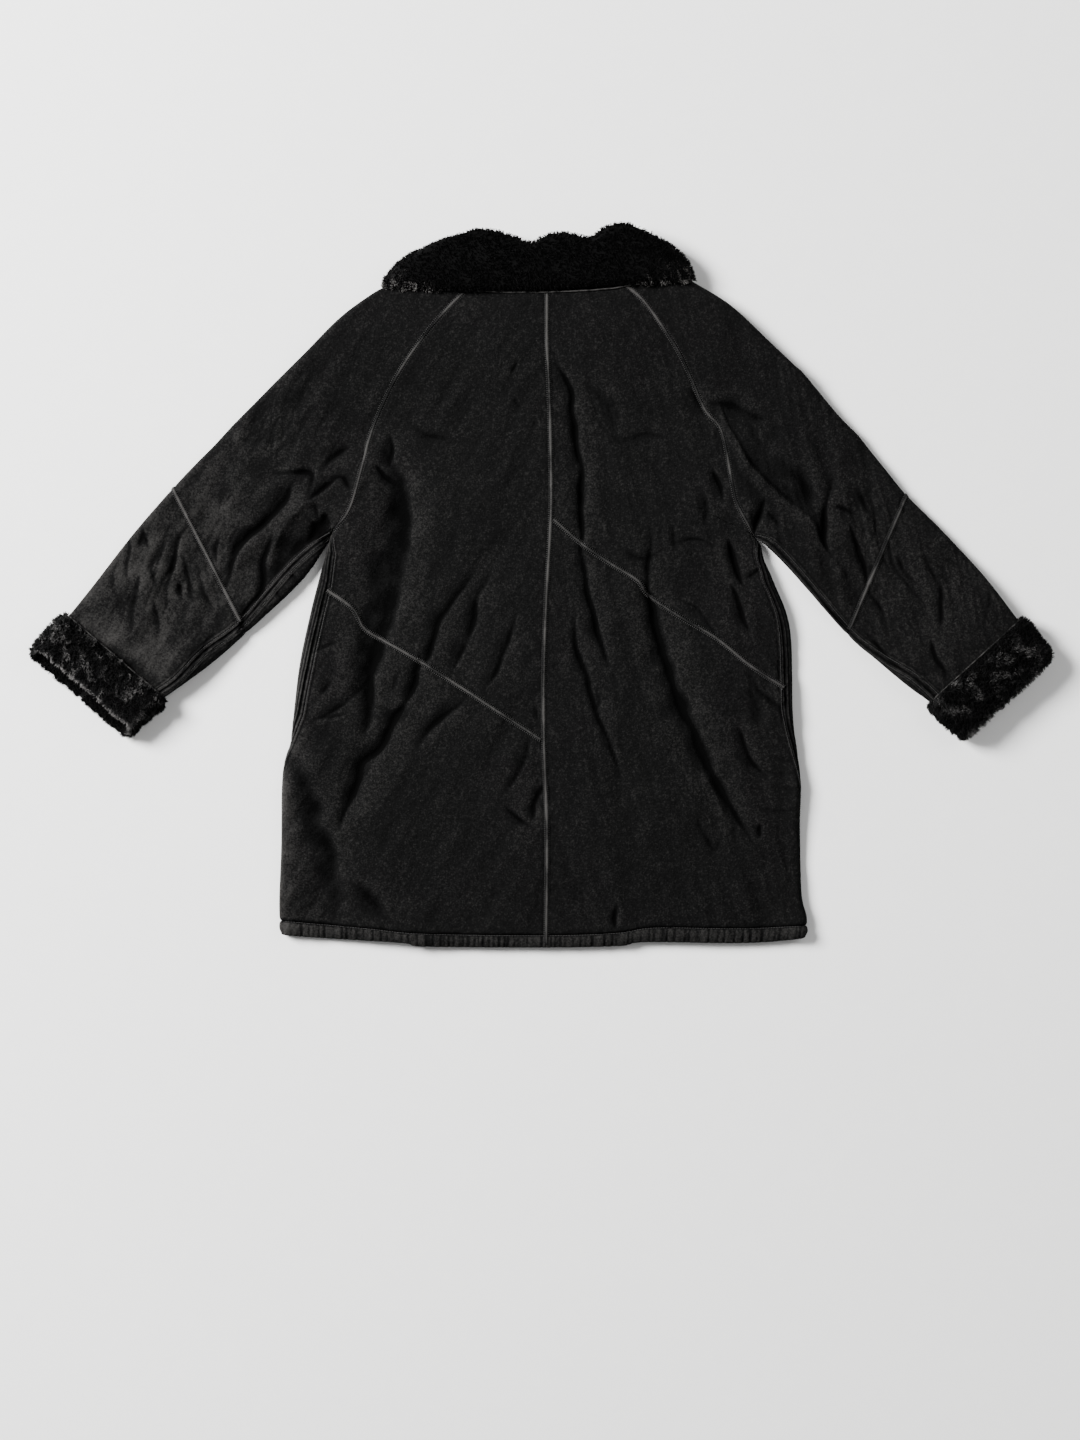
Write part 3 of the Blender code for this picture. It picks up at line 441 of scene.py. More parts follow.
# %% Press the folds and add the leather's own unevenness
LEFT_LEAN, RIGHT_LEAN = 1.05, -1.30  # the way that the folds run on each half
# Each unevenness: its height, the length and width of its spots, its turn if any, its seed.
LONG_WRINKLES, SHORT_WRINKLES = (-1.3, 46, 11, 31), (-0.8, 22, 8, 33)
GRAIN, GRAIN_ON_SLEEVES, PORES = (0.16, 34, 8, 5), 0.12, (0.07, 6, 5, 0.4, 6)
PILLOWS, SWELLS, UNDER_SWELLS = (0.9, 85, 20, 8), (1.0, 110, 80, 1.2, 7), (0.25, 40, 25, 0.7, 11)
to_right = soft_step(MAP_X, -30, 30)


def leaning_noise(along, across, seed):
    """Unevenness that runs the way of the folds on each half of the coat."""
    left = soft_noise(along, across, LEFT_LEAN, seed)
    return left * (1 - to_right) + soft_noise(along, across, RIGHT_LEAN, seed + 1) * to_right


def wrinkles(along, across, seed):
    """Fine wandering creases, where a soft noise passes through nought."""
    return bump(leaning_noise(along, across, seed), 0.42)


folded = np.zeros((MAP_ROWS, MAP_COLUMNS))
for width, rise, lip, places in CREASES:
    press(folded, width, rise, lip, places)
folded = np.where(folded < 0, -DEEPEST * np.tanh(-folded / DEEPEST), folded)
sleeves = soft_step(np.abs(MAP_X), 240, 330)
busy = (0.25 + 0.75 * sleeves) * np.clip(0.5 + 0.45 * soft_noise(70, 70, 0, 30), 0, 1.3)
fine_map = sum(kind[0] * busy * wrinkles(*kind[1:]) for kind in (LONG_WRINKLES, SHORT_WRINKLES))
fine_map += (GRAIN[0] + GRAIN_ON_SLEEVES * sleeves) * leaning_noise(*GRAIN[1:])
fine_map += PORES[0] * soft_noise(*PORES[1:])
pillows = PILLOWS[0] * leaning_noise(*PILLOWS[1:]) * (0.6 + 0.6 * sleeves)
pillows += SWELLS[0] * soft_noise(*SWELLS[1:])
upper_map = folded + pillows + fine_map
# Above nought on ridges, below it in troughs, finely and broadly. Ridges are lightened from it as
# wear, troughs get painted shade.
relief_map = 1.2 * (upper_map - soften(upper_map, 8, 8)) + 0.6 * (folded - soften(folded, 45, 45))
patches = soft_noise(30, 18, 0.9, 12) * (0.25 + 0.75 * soft_step(-MAP_X, 240, 420))

# The hidden side has every second fold as well, mirrored, and shallow: the coat lies on it.
UNDER_WIDER, UNDER_RISE, UNDER_MOST = 1.2, -0.22, 3.5
under_map = UNDER_SWELLS[0] * np.abs(soft_noise(*UNDER_SWELLS[1:]))
for width, rise, lip, places in CREASES[::2]:
    mirrored = [(-x, y) for x, y in places]
    press(under_map, width * UNDER_WIDER, UNDER_RISE * rise, 0, mirrored)
under_map = np.clip(under_map, 0, UNDER_MOST)
print("folds:", len(CREASES), "deepest", round(upper_map.min(), 1), "mm")

# %% [markdown]
# ## How cloth lies
# The back lies on the fronts, and at each side the cloth goes round a folded edge. Collar
# and cuffs are thick, so neck and wrists are held up. One small set of functions puts any
# place of the pattern where it lies, so back, fronts and sleeves meet at their seams.

# %% Heights of the upper and of the under side
def held_up(x, y):
    """How much of the lift a place has, from 0 to 1."""
    share = soft_step(y, *NECK_RAMP)
    for side, outward in OUTWARD.items():
        cuff = CUFF[side]
        along = (x - cuff[0]) * cuff[2] + (y - cuff[1]) * cuff[3]
        wrist = soft_step(along, *WRIST_RAMP) * (x * outward > SLEEVE_FROM)
        share = np.maximum(share, wrist)
    return share


def heights(x, y):
    """Heights of the cloth below and above; folds are flatter where it is held up."""
    share = held_up(x, y)
    kept = 1 - 0.5 * share
    low = LIFT * share + kept * read(under_map, x, y)
    return low, LIFT * share + LIE + kept * read(upper_map, x, y)


def round_edge(edge, inward, along, depth=0.0):
    """Cloth round a folded edge; along is 0 on its outermost line and grows on the upper side."""
    edge, inward, along = np.broadcast_arrays(edge, inward, np.asarray(along)[..., None])
    along = along[..., 0]
    turn = np.clip(along / EDGE_QUARTER, -1, 1) * pi / 2
    past = np.maximum(np.abs(along) - EDGE_QUARTER, 0)
    reach = EDGE_RADIUS - (EDGE_RADIUS - depth) * np.cos(turn) + past
    place = edge + inward * reach[..., None]
    foot = edge + inward * np.maximum(reach, EDGE_RADIUS)[..., None]
    low, high = heights(foot[..., 0], foot[..., 1])
    z = (low + high) / 2 + ((high - low) / 2 - depth) * np.sin(turn)
    return np.concatenate([place, z[..., None]], axis=-1)


def edge_x(side, y):
    return np.interp(y, EDGE[side][:, 1], EDGE[side][:, 0])


def lay_body(x, y, face, depth=0.0):
    """A place of back (face 1) or fronts (face -1); x is measured along the cloth."""
    laid = {}
    for side, outward in OUTWARD.items():
        reach = (edge_x(side, y) - x) * outward
        along = face * (reach - EDGE_RADIUS + EDGE_QUARTER)
        edge = np.stack([edge_x(side, y), y], axis=-1)
        laid[side] = round_edge(edge, np.array([-outward, 0.0]), along, depth)
    return np.where((x > 0)[..., None], laid["right"], laid["left"])


def seam_place(side, y, face):
    """The side seam, in the body's own measure of x."""
    rows = np.array(SIDE[side][::-1])
    seam = np.interp(y, rows[:, 1], rows[:, 2])
    return edge_x(side, y) - OUTWARD[side] * (face * seam + EDGE_RADIUS - EDGE_QUARTER)

# %% [markdown]
# ## From a grid of points to a piece of cloth
# Each cut piece is a grid between its four seams. A plane with modifiers could be pulled
# to shape, but a grid made from the seams themselves fits its neighbours to the millimetre.
# Beside a seam the cloth is drawn down and gathers a little, and its rim turns in.

# %% Grids between four lines
def coons(bottom, top, left, right, across):
    """Fills four lines; across tells where along the bottom each column is."""
    u, v = across[None, :, None], np.linspace(0, 1, len(left))[:, None, None]
    corners = (1 - v) * ((1 - u) * bottom[0] + u * bottom[-1])
    corners = corners + v * ((1 - u) * top[0] + u * top[-1])
    lines = (1 - v) * bottom[None] + v * top[None] + (1 - u) * left[:, None] + u * right[:, None]
    return lines - corners


def normals(grid):
    return unit(np.cross(np.gradient(grid, axis=1), np.gradient(grid, axis=0)))


GATHER_WAVES = ((0.5, 1.9), (0.4, 3.1), (0.5, 7.3))  # each wave's height, and its pitch in mm
# A lapped seam across: its ridges and its rows of stitches, by height, place and width.
WELT = ((0.55, 2.9, 1.3), (0.45, 7.4, 1.2), (-0.75, 5.2, 0.9), (-0.5, 9.6, 1.0))


def ripple(at, seed):
    """Uneven small gathers along a seam."""
    starts = np.random.default_rng(seed).uniform(0, 6.28, 3)
    waves = zip(GATHER_WAVES, starts)
    return sum(height * np.sin(at / pitch + start) for (height, pitch), start in waves)


def draw_down(outer, out, seams, seed):
    """Draws a grid down beside its seams, {border: (depth, width, gathers, welted)}."""
    pull = np.zeros(outer.shape[:2])
    for number, (border, (depth, width, gathers, welted)) in enumerate(seams.items()):
        axis, last = {"bottom": (0, 0), "top": (0, 1), "left": (1, 0), "right": (1, 1)}[border]
        rows = np.flip(outer, axis) if last else outer
        steps = np.linalg.norm(np.diff(rows, axis=axis), axis=2)
        gap = np.insert(np.cumsum(steps, axis=axis), 0, 0, axis=axis)
        gap = np.flip(gap, axis) if last else gap
        edge = np.take(outer, -last, axis=axis)
        wave = np.expand_dims(ripple(shares(edge) * length_of(edge), seed + number), axis)
        welt = sum(height * bump(gap - place, wide) for height, place, wide in WELT)
        pull += depth * bump(gap, width) + gathers * wave * bump(gap, 2.2 * width)
        pull -= np.expand_dims(welted * np.ones(len(edge)), axis) * welt
    return outer - out * pull[..., None], pull


def grid_faces(rows, columns, round_columns=False, round_rows=False):
    i, j = np.meshgrid(
        np.arange(rows - (not round_rows)), np.arange(columns - (not round_columns)), indexing="ij"
    )
    i, j = i.ravel(), j.ravel()
    low, high, k = i * columns, (i + 1) % rows * columns, (j + 1) % columns
    return np.column_stack([low + j, low + k, high + k, high + j])


RIM_DEPTH, RIM_SHADE = 2.6, -0.6  # a cut edge turns in this far, and the turned-in rim is painted darker, as shade


def with_rim(outer, out, marks):
    """The grid's points, faces and marks, with a rim that turns in all round."""
    rows, columns = outer.shape[:2]
    index = np.arange(rows * columns).reshape(rows, columns)
    ring = np.concatenate([index[0], index[1:, -1], index[-1, -2::-1], index[-2:0:-1, 0]])
    points, marks = outer.reshape(-1, 3), marks.ravel()
    turned = points[ring] - RIM_DEPTH * out.reshape(-1, 3)[ring]
    low = len(points) + np.arange(len(ring))
    rim = np.column_stack([np.roll(ring, -1), ring, low, np.roll(low, -1)])
    faces = np.vstack([grid_faces(rows, columns), rim])
    return np.vstack([points, turned]), faces, np.concatenate([marks, marks[ring] + RIM_SHADE])


# %% Make objects from arrays
def metres(points):
    """From the pattern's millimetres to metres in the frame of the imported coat."""
    return (np.asarray(points, float) - MIDDLE) * MM


def put(name, data):
    """Puts a mesh, a lamp or a camera into the scene."""
    made = bpy.data.objects.new(name, data)
    bpy.context.scene.collection.objects.link(made)
    return made


def add_piece(name, slot, points, faces, finish, marks, *nodes):
    """A piece that stands for these solids; marks are numbers that its material reads."""
    mesh = bpy.data.meshes.new(name)
    mesh.from_pydata(metres(points).tolist(), [], faces)
    mesh.validate()
    mesh.shade_smooth()
    for mark, values in marks.items():
        layer = mesh.attributes.new(mark, "FLOAT", "POINT")
        layer.data.foreach_set("value", np.asarray(values, np.float32))
    mesh.materials.append(finish)
    piece = put(name, mesh)
    if nodes:
        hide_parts(*nodes)
    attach(piece, "root")
    return piece


def add_tube(name, slot, grid, finish, marks, *nodes, round_rows=False):
    """A piece from rings of points, with its faces turned outwards."""
    points = grid.reshape(-1, 3)
    faces = grid_faces(*grid.shape[:2], True, round_rows)
    a, b, c, d = (points[faces[:, k]] for k in range(4))
    volume = (a * np.cross(b, c)).sum() + (a * np.cross(c, d)).sum()
    faces = faces[:, ::-1] if volume < 0 else faces
    return add_piece(name, slot, points, faces.tolist(), finish, marks, *nodes)


# %% [markdown]
# ## Black suede
# Suede is the brushed flesh side of the skin: a nap of short fibres that scatters light, so
# it has no gloss at all, only a faint bloom where one looks along it. Dyed black, it greys
# with wear on ridges. Its colour also carries painted shade in troughs and seam grooves,
# and painted light on the left sleeve and on edges that face the lamp. Its base is a mottled
# dark grey, its bump has the nap at two millimetres and the leather's crackle at eight.

# %% Helpers for materials
def linear(code):
    """An sRGB colour code as the linear colour that a shader takes."""
    parts = [int(code[k : k + 2], 16) / 255 for k in (1, 3, 5)]
    return [p / 12.92 if p <= 0.04045 else ((p + 0.055) / 1.055) ** 2.4 for p in parts] + [1.0]


def add_node(tree, kind, values=None, links=None, **settings):
    """A node with its sockets' values, and links as {socket: (node, output)}."""
    node = tree.nodes.new("ShaderNode" + kind)
    for name, value in settings.items():
        setattr(node, name, value)
    for name, value in (values or {}).items():
        node.inputs[name].default_value = value
    for name, (source, output) in (links or {}).items():
        tree.links.new(source.outputs[output], node.inputs[name])
    return node


def new_finish(name):
    """A new material, its nodes, and the link that gives a pattern its place on the piece."""
    finish = bpy.data.materials.new(name)
    finish.use_nodes = True
    tree = finish.node_tree
    tree.nodes.clear()
    return finish, tree, {"Vector": (add_node(tree, "TexCoord"), "Object")}


def set_colours(stops, low, high, middle=None, at=0.5):
    """The colours of a ramp's two ends, and of a stop between them."""
    stops[0].color, stops[1].color = linear(low), linear(high)
    if middle:
        stops.new(at).color = linear(middle)


def per_mm(size):
    """A noise scale, in spots per metre, for spots of this many millimetres."""
    return 1 / (size * MM)


# %% Black suede
def black_suede(name, dark, grey, lightest):
    finish, tree, at = new_finish(name)
    clouds = {"Scale": per_mm(40), "Detail": 6, "Roughness": 0.7, "Distortion": 0.6}
    specks = {"Scale": per_mm(5), "Detail": 5, "Roughness": 0.85}
    fibres = {"Scale": per_mm(2.2), "Detail": 2, "Roughness": 0.8}
    cracks = {"Scale": per_mm(8), "Detail": 6, "Roughness": 0.62, "Distortion": 1.6}
    cloud, speck, nap, crackle = (
        (add_node(tree, "TexNoise", values, at), "Fac")
        for values in (clouds, specks, fibres, cracks)
    )
    # This mark holds wear and painted light: painted shade in troughs, seams and rims, painted
    # highlights on lit edges, straps and hem puckers.
    painted_light_and_mottle = add_node(tree, "Attribute", attribute_name="wear_and_painted_light"), "Fac"
    for spots, share in ((cloud, 0.10), (speck, 1.3), (nap, 1.4)):
        links = {0: spots, 2: painted_light_and_mottle}
        painted_light_and_mottle = add_node(tree, "Math", {1: share}, links, operation="MULTIPLY_ADD"), "Value"
    tone = add_node(tree, "MapRange", {"From Min": 0.75, "From Max": 2.35}, {"Value": painted_light_and_mottle})
    ramp = add_node(tree, "ValToRGB", None, {"Fac": (tone, "Result")})
    set_colours(ramp.color_ramp.elements, dark, lightest, grey, 0.45)
    rough = add_node(tree, "Bump", {"Strength": 0.8, "Distance": 0.0016}, {"Height": crackle})
    links = {"Height": nap, "Normal": (rough, "Normal")}
    fuzz = add_node(tree, "Bump", {"Strength": 0.6, "Distance": 0.0006}, links)
    values = {"Roughness": 0.95, "Specular IOR Level": 0.04, "Sheen Weight": 0.20}
    values |= {"Sheen Roughness": 0.3, "Sheen Tint": linear("#444241")}
    links = {"Base Color": (ramp, "Color"), "Normal": (fuzz, "Normal")}
    suede = add_node(tree, "BsdfPrincipled", values, links)
    add_node(tree, "OutputMaterial", None, {"Surface": (suede, "BSDF")})
    return finish


SUEDE = black_suede("black_sheepskin_suede", "#010101", "#0b0b0b", "#2e2d2c")
STRAP_SUEDE = black_suede("grey_edged_suede_strap", "#030303", "#151515", "#353433")
print("made", SUEDE.name, "and", STRAP_SUEDE.name)


# %% Black thread, waxed, with a soft shine
def black_thread():
    finish, tree, at = new_finish("black_waxed_thread")
    twist = add_node(tree, "TexNoise", {"Scale": per_mm(0.8), "Detail": 2}, at)
    ramp = add_node(tree, "ValToRGB", None, {"Fac": (twist, "Fac")})
    set_colours(ramp.color_ramp.elements, "#151515", "#3a3938")
    values = {"Roughness": 0.6, "Specular IOR Level": 0.4}
    thread = add_node(tree, "BsdfPrincipled", values, {"Base Color": (ramp, "Color")})
    add_node(tree, "OutputMaterial", None, {"Surface": (thread, "BSDF")})
    return finish


THREAD = black_thread()


# %% [markdown]
# ## Wool
# Sheared lamb's wool is dense, dull and very black, because light is lost between the
# fibres. Only the tips catch some. The tufts carry a number, 0 at the root and 1 at the
# tip, and the colour follows it: painted shade at the root, a painted highlight at the tip.

# %% Black sheared wool
def black_wool(name, root, middle, tip):
    finish, tree, at = new_finish(name)
    lock = add_node(tree, "TexNoise", {"Scale": per_mm(4), "Detail": 4, "Roughness": 0.75}, at)
    # The tip mark paints each tuft darker at its root, as shade, and lighter at its tip, as a
    # highlight.
    tipped = add_node(tree, "Attribute", attribute_name="tip")
    links = {0: (lock, "Fac"), 1: (tipped, "Fac")}
    both = add_node(tree, "Math", None, links, operation="MULTIPLY")
    tone = add_node(tree, "MapRange", {"From Min": 0.05}, {"Value": (both, "Value")})
    ramp = add_node(tree, "ValToRGB", None, {"Fac": (tone, "Result")})
    set_colours(ramp.color_ramp.elements, root, tip, middle, 0.35)
    values = {"Roughness": 0.75, "Specular IOR Level": 0.06, "Sheen Weight": 0.05}
    values |= {"Sheen Roughness": 0.4, "Sheen Tint": linear("#4a4847")}
    wool = add_node(tree, "BsdfPrincipled", values, {"Base Color": (ramp, "Color")})
    add_node(tree, "OutputMaterial", None, {"Surface": (wool, "BSDF")})
    return finish


COLLAR_WOOL = black_wool("black_wool_of_the_collar", "#010101", "#040404", "#605e5c")
CUFF_WOOL = black_wool("black_wool_of_the_cuffs", "#020202", "#131313", "#6a6867")

# %% [markdown]
# ## Back and fronts
# The back has four panels: two halves, each parted by a slanting seam. The two fronts lie
# below. Each goes round its folded edge up to the side seam. A knitted lining or a modelled
# wool inside would never be seen, so each panel is one skin with its rim turned in.

# %% Columns and rows of the panels
FINE, COARSE = 2.3, 6.5  # millimetres between points above and below
SEAM_ZONE, SEAM_STEP = 12.0, 1.1  # closer still beside a welted seam
FOLD_ZONE, FOLD_STEP = 30.0, 2.4


def columns_from_edge(width, step):
    """Close columns at the seam and where the cloth is folded, then even ones to the centre."""
    seam = np.arange(0, SEAM_ZONE, SEAM_STEP) / width
    fold = np.arange(SEAM_ZONE, FOLD_ZONE, FOLD_STEP) / width
    wide = np.linspace(FOLD_ZONE / width, 1, int((width - FOLD_ZONE) / step) + 2)
    return np.concatenate([seam, fold, wide])


def back_columns(side):
    return columns_from_edge(abs(seam_place(side, YOKE_Y[side], 1)), FINE)


def across_line(line, start_x, end_x, fractions, face):
    """Points along a line that runs across the coat, from one x along the cloth to another."""
    x = start_x + (end_x - start_x) * fractions
    seen = lay_body(x, np.full_like(x, line[0][1]), face)[:, 0]
    return np.column_stack([x, height_on(line, seen)])


def side_rows(side, face, start_y, end_y, step):
    y = np.linspace(start_y, end_y, int(abs(end_y - start_y) / step) + 2)
    return np.column_stack([seam_place(side, y, face), y])


def raglan_up(side, face, step):
    """The raglan seam from the armpit to the neck."""
    line = smooth(RAGLAN[side])
    points = spread(line, np.linspace(1, 0, int(length_of(line) / step) + 2))
    points[0][0] = seam_place(side, points[0][1], face)
    return points


def centre_rows(start_y, end_y, count):
    return spread(between(CENTRE, start_y, end_y), np.linspace(0, 1, count))


def slant_line(side, across):
    """The slanting seam from the side seam to the centre."""
    start = seam_place(side, YOKE_Y[side], 1)
    line = smooth(YOKE[side])[::-1]
    line = line[line[:, 0] * OUTWARD[side] < abs(start) - 4]
    return spread(np.vstack([[(start, YOKE_Y[side])], line]), across)


def upper_panel(side):
    across = back_columns(side)
    left = side_rows(side, 1, YOKE_Y[side], ARMPIT_Y[side], FINE)
    left = np.vstack([left[:-1], raglan_up(side, 1, FINE)])
    neck = across_line(NECK_SEAM, RAGLAN[side][0][0], CENTRE_BACK[0][0], across, 1)
    centre = centre_rows(YOKE[side][0][1], neck[-1][1], len(left))
    return coons(slant_line(side, across), neck, left, centre, across)


def lower_panel(side):
    across = back_columns(side)
    left = side_rows(side, 1, HEM_Y[side], YOKE_Y[side], FINE)
    stitch = across_line(STITCH, left[0][0], CENTRE[-1][0], across, 1)
    left[0] = stitch[0]
    centre = centre_rows(stitch[-1][1], YOKE[side][0][1], len(left))
    return coons(stitch, slant_line(side, across), left, centre, across)


def front_neck_y(x):
    """The fronts' neck line: a shallow V between the raglan seams."""
    (start_x, start_y), (end_x, end_y) = RAGLAN["left"][0], RAGLAN["right"][0]
    low_y = NECK[2][1] - FRONT_NECK_DROP
    cut = np.interp(x, [start_x, CENTRE_FRONT, end_x], [start_y, low_y, end_y])
    return np.where((x > start_x) & (x < end_x), cut, height_on(NECK_SEAM, x))


def front_panel(side):
    left = side_rows(side, -1, HEM_Y[side], ARMPIT_Y[side], COARSE)
    left = np.vstack([left[:-1], raglan_up(side, -1, COARSE)])
    across = columns_from_edge(abs(left[0][0] - CENTRE_FRONT), COARSE)
    stitch = across_line(STITCH, left[0][0], CENTRE_FRONT, across, -1)
    neck_x = left[-1][0] + (CENTRE_FRONT - left[-1][0]) * across
    neck = np.column_stack([neck_x, front_neck_y(neck_x)])
    left[[0, -1]] = stitch[0], neck[0]
    middle = np.linspace(stitch[-1], neck[-1], len(left))
    return coons(stitch, neck, left, middle, across)


# %% Sew the panels
RUBBED_MOST, DARKEST_TROUGH_SHADE = 0.13, -2.2  # the limits for ridges, lightened as wear, and for troughs, darkened as painted shade
# How much the relief lightens ridges and paints shade into troughs, deep ones most; and how much
# random patches add.
RELIEF_SHARE, TROUGH_SHARE, PATCH_SHARE = 0.24, 0.035, 0.10
EDGE_LIGHT_PAINT = 0.15, -0.5, 0.3  # painted light: folded edges that face left and up, towards the lamp, are lighter, those that face away darker
LEFT_SLEEVE_LIGHT = (0.15, 280, 460), (0.13, 440, 560)  # painted light: the left sleeve, on the lamp's side, is lighter; share, from here to there
# Painted light along the body's left edge, which faces the lamp; and a little lighter towards the
# right sleeve's end.
LEFT_EDGE_LIGHT, LEFT_EDGE_LIGHT_REACH, RIGHT_SLEEVE_LIGHTER = 0.34, 20.0, (0.05, 380, 500)
LIT_EDGE_X, NOT_SLEEVE_X, LIT_EDGE_Y = (235, 315), (-370, -345), (60, -60)  # the body's left edge, where painted light is strongest


def paint_wear_and_light(drawn, out, pull):
    """Wear and painted light: ridges lighter as wear; troughs and seam grooves darker as
    painted shade; the left sleeve, edges facing the lamp and the body's left edge lighter as
    painted light.
    """
    x, y = drawn[..., 0], drawn[..., 1]
    relief = read(relief_map, x, y)
    # Painted shade in troughs, the deepest darkest; ridges a little lighter as wear; random
    # patches.
    relief = RELIEF_SHARE * relief - TROUGH_SHARE * np.clip(relief, -9, 0) ** 2
    ridge = np.clip(relief, DARKEST_TROUGH_SHADE, RUBBED_MOST) + PATCH_SHARE * read(patches, x, y)
    ridge = np.where(out[..., 2] > -0.2, ridge, 0)
    # Painted light: the left sleeve is lighter, as it lies towards the lamp.
    sleeve = sum(share * soft_step(-x, start, end) for share, start, end in LEFT_SLEEVE_LIGHT)
    at_left = soft_step(-x, *LIT_EDGE_X) * soft_step(x, *NOT_SLEEVE_X) * soft_step(y, *LIT_EDGE_Y)
    # Painted light and shade on folded edges: lighter where they face the lamp, darker where they
    # face away, most at the body's left edge.
    to_light = EDGE_LIGHT_PAINT[0] + EDGE_LIGHT_PAINT[1] * out[..., 0] + EDGE_LIGHT_PAINT[2] * out[..., 1]
    edge = (1 + 1.6 * at_left) * to_light * (1 - np.abs(out[..., 2])) ** 2
    # Painted shade in seam grooves and painted light on welted ridges, strongest at the body's left
    # edge.
    seam = (0.5 + 0.6 * at_left) * np.clip(pull, -1, 1)
    # Painted light along the body's left edge; and a little lighter towards the right sleeve's end.
    lighter_at_sides = LEFT_EDGE_LIGHT * at_left * bump(x - edge_x("left", y), LEFT_EDGE_LIGHT_REACH)
    lighter_at_sides += RIGHT_SLEEVE_LIGHTER[0] * soft_step(x, *RIGHT_SLEEVE_LIGHTER[1:])
    return ridge + sleeve + edge - seam + lighter_at_sides


PIECES, LAID = {}, {}  # the coat's pieces of cloth, and their drawn-down grids and directions


def add_cloth(name, outer, inner, seams, seed, wear_and_painted_light=0.0):
    """Lays a cut piece of suede on the solid of this name."""
    out = normals(outer)
    inwards = (out * (outer - inner)).sum() < 0
    out = -out if inwards else out
    drawn, pull = draw_down(outer, out, seams, seed)
    drawn[..., 2] = np.maximum(drawn[..., 2], 0.0)
    points, faces, marks = with_rim(drawn, out, paint_wear_and_light(drawn, out, pull) + wear_and_painted_light)
    faces = (faces[:, ::-1] if inwards else faces).tolist()
    marks = {"wear_and_painted_light": marks}
    PIECES[name] = add_piece("suede_" + name, "suede", points, faces, SUEDE, marks, name)
    LAID[name] = drawn, out
    print(name, "points", outer.shape[:2])


# Each seam's depth, width, gathers and share of welt.
STRAPPED, PLAIN, WELTED = (0.9, 3.6, 0.30, 0.0), (1.5, 2.2, 0.20, 0.0), (1.5, 1.6, 0.25)
PANELS = {
    "back_{}_upper": (upper_panel, 1, 20, {"right": STRAPPED, "top": PLAIN, "bottom": STRAPPED}),
    "back_{}_lower": (lower_panel, 1, 20, {"right": STRAPPED, "top": STRAPPED, "bottom": PLAIN}),
    "front_{}": (front_panel, -1, 30, {"right": PLAIN}),
}
for number, side in enumerate(OUTWARD):
    for name, (panel, face, seed, seams) in PANELS.items():
        grid = panel(side)
        outer, inner = (lay_body(grid[..., 0], grid[..., 1], face, depth) for depth in (0, WALL))
        below_armpit = (grid[:, 0, 1] < ARMPIT_Y[side] - 4).astype(float)
        seams = {"left": (*WELTED, below_armpit), **seams}
        add_cloth(name.format(side), outer, inner, seams, seed + number)

# %% [markdown]
# ## The cased hem
# The hem is a narrow casing: the leather is turned up and stitched through, and the stitches
# gather it into small puckers. Each band is a grid that goes down from the stitched line,
# round the lower edge and back up inside, with the puckers as uneven waves along it.

# %% Hem bands
HEM_BULGE, HEM_PUCKER, PUCKERS = 1.4, 1.5, 90
PUCKER_APART, PUCKER_DEEP, PUCKER_WIDE = (3.5, 12.0), (0.2, 1.1), (1.0, 2.2)


def hem_grid(side, face, step):
    start = seam_place(side, HEM_Y[side], face)
    end = CENTRE[-1][0] if face > 0 else CENTRE_FRONT
    across = np.linspace(0, 1, int(abs(start - end) / step) + 2)
    stitch = across_line(STITCH, start, end, across, face)[:, 1]
    edge = across_line(HEM, start, end, across, face)[:, 1] + WALL / 2
    rng = np.random.default_rng(40 + 2 * (side == "left") + (face > 0))
    places = np.cumsum(rng.uniform(*PUCKER_APART, PUCKERS))[:, None]
    depths = rng.uniform(*PUCKER_DEEP, (PUCKERS, 1))
    widths = rng.uniform(*PUCKER_WIDE, (PUCKERS, 1))
    at = across * abs(end - start)
    wave = 0.45 - (depths * bump(at[None] - places, widths)).sum(axis=0)
    outer, inner = [], []
    for t in np.linspace(0, 1, 9):
        y = stitch + (edge - stitch) * t
        seam_x = seam_place(side, y, face)
        x = seam_x + (end - seam_x) * across
        outside, inside = lay_body(x, y, face), lay_body(x, y, face, WALL)
        push = HEM_BULGE * (1.6 * sin(pi * t) ** 0.8 - 0.8)
        push = push + HEM_PUCKER * wave * (0.55 + 0.45 * abs(2 * t - 0.9))
        outer.append(outside + (outside - inside) / WALL * push[:, None])
        inner.append(inside)
    middle, half = (outer[-1] + inner[-1]) / 2, (outer[-1] - inner[-1]) / 2
    rows = list(outer)
    for turn in (0.25, 0.5, 0.75, 1.0):
        down = np.array([0.0, -1.0, 0.0]) * (WALL / 2 + 0.4 * wave[:, None]) * sin(pi * turn)
        rows.append(middle + half * cos(pi * turn) + down)
    grid = np.array(rows + [inner[6], inner[3]])
    grid[..., 2] = np.maximum(grid[..., 2], 0.0)
    within = np.array(inner + [middle] * 6)
    # Painted light and shade on the hem: lighter where it bulges out between puckers, darker in
    # their dips.
    return grid, within, np.tile(0.12 + 0.5 * wave, (len(grid), 1))


for side in OUTWARD:
    for part, face, step in (("back", 1, 1.3), ("front", -1, 2.6)):
        outer, inner, wear_and_painted_light = hem_grid(side, face, step)
        add_cloth(f"hem_{part}_{side}", outer, inner, {"bottom": (1.1, 1.6, 0, 0)}, 50, wear_and_painted_light)

# %% [markdown]
# ## Sleeves
# A raglan sleeve runs up to the neck between back and front. Above the armpit it is open
# towards the body and folded along the shoulder. Below it is a flattened tube with two folded
# edges and the underarm seam near the lower one. Each sleeve is sewn from an upper and a
# lower piece, and each is a grid of sections laid round the folds.

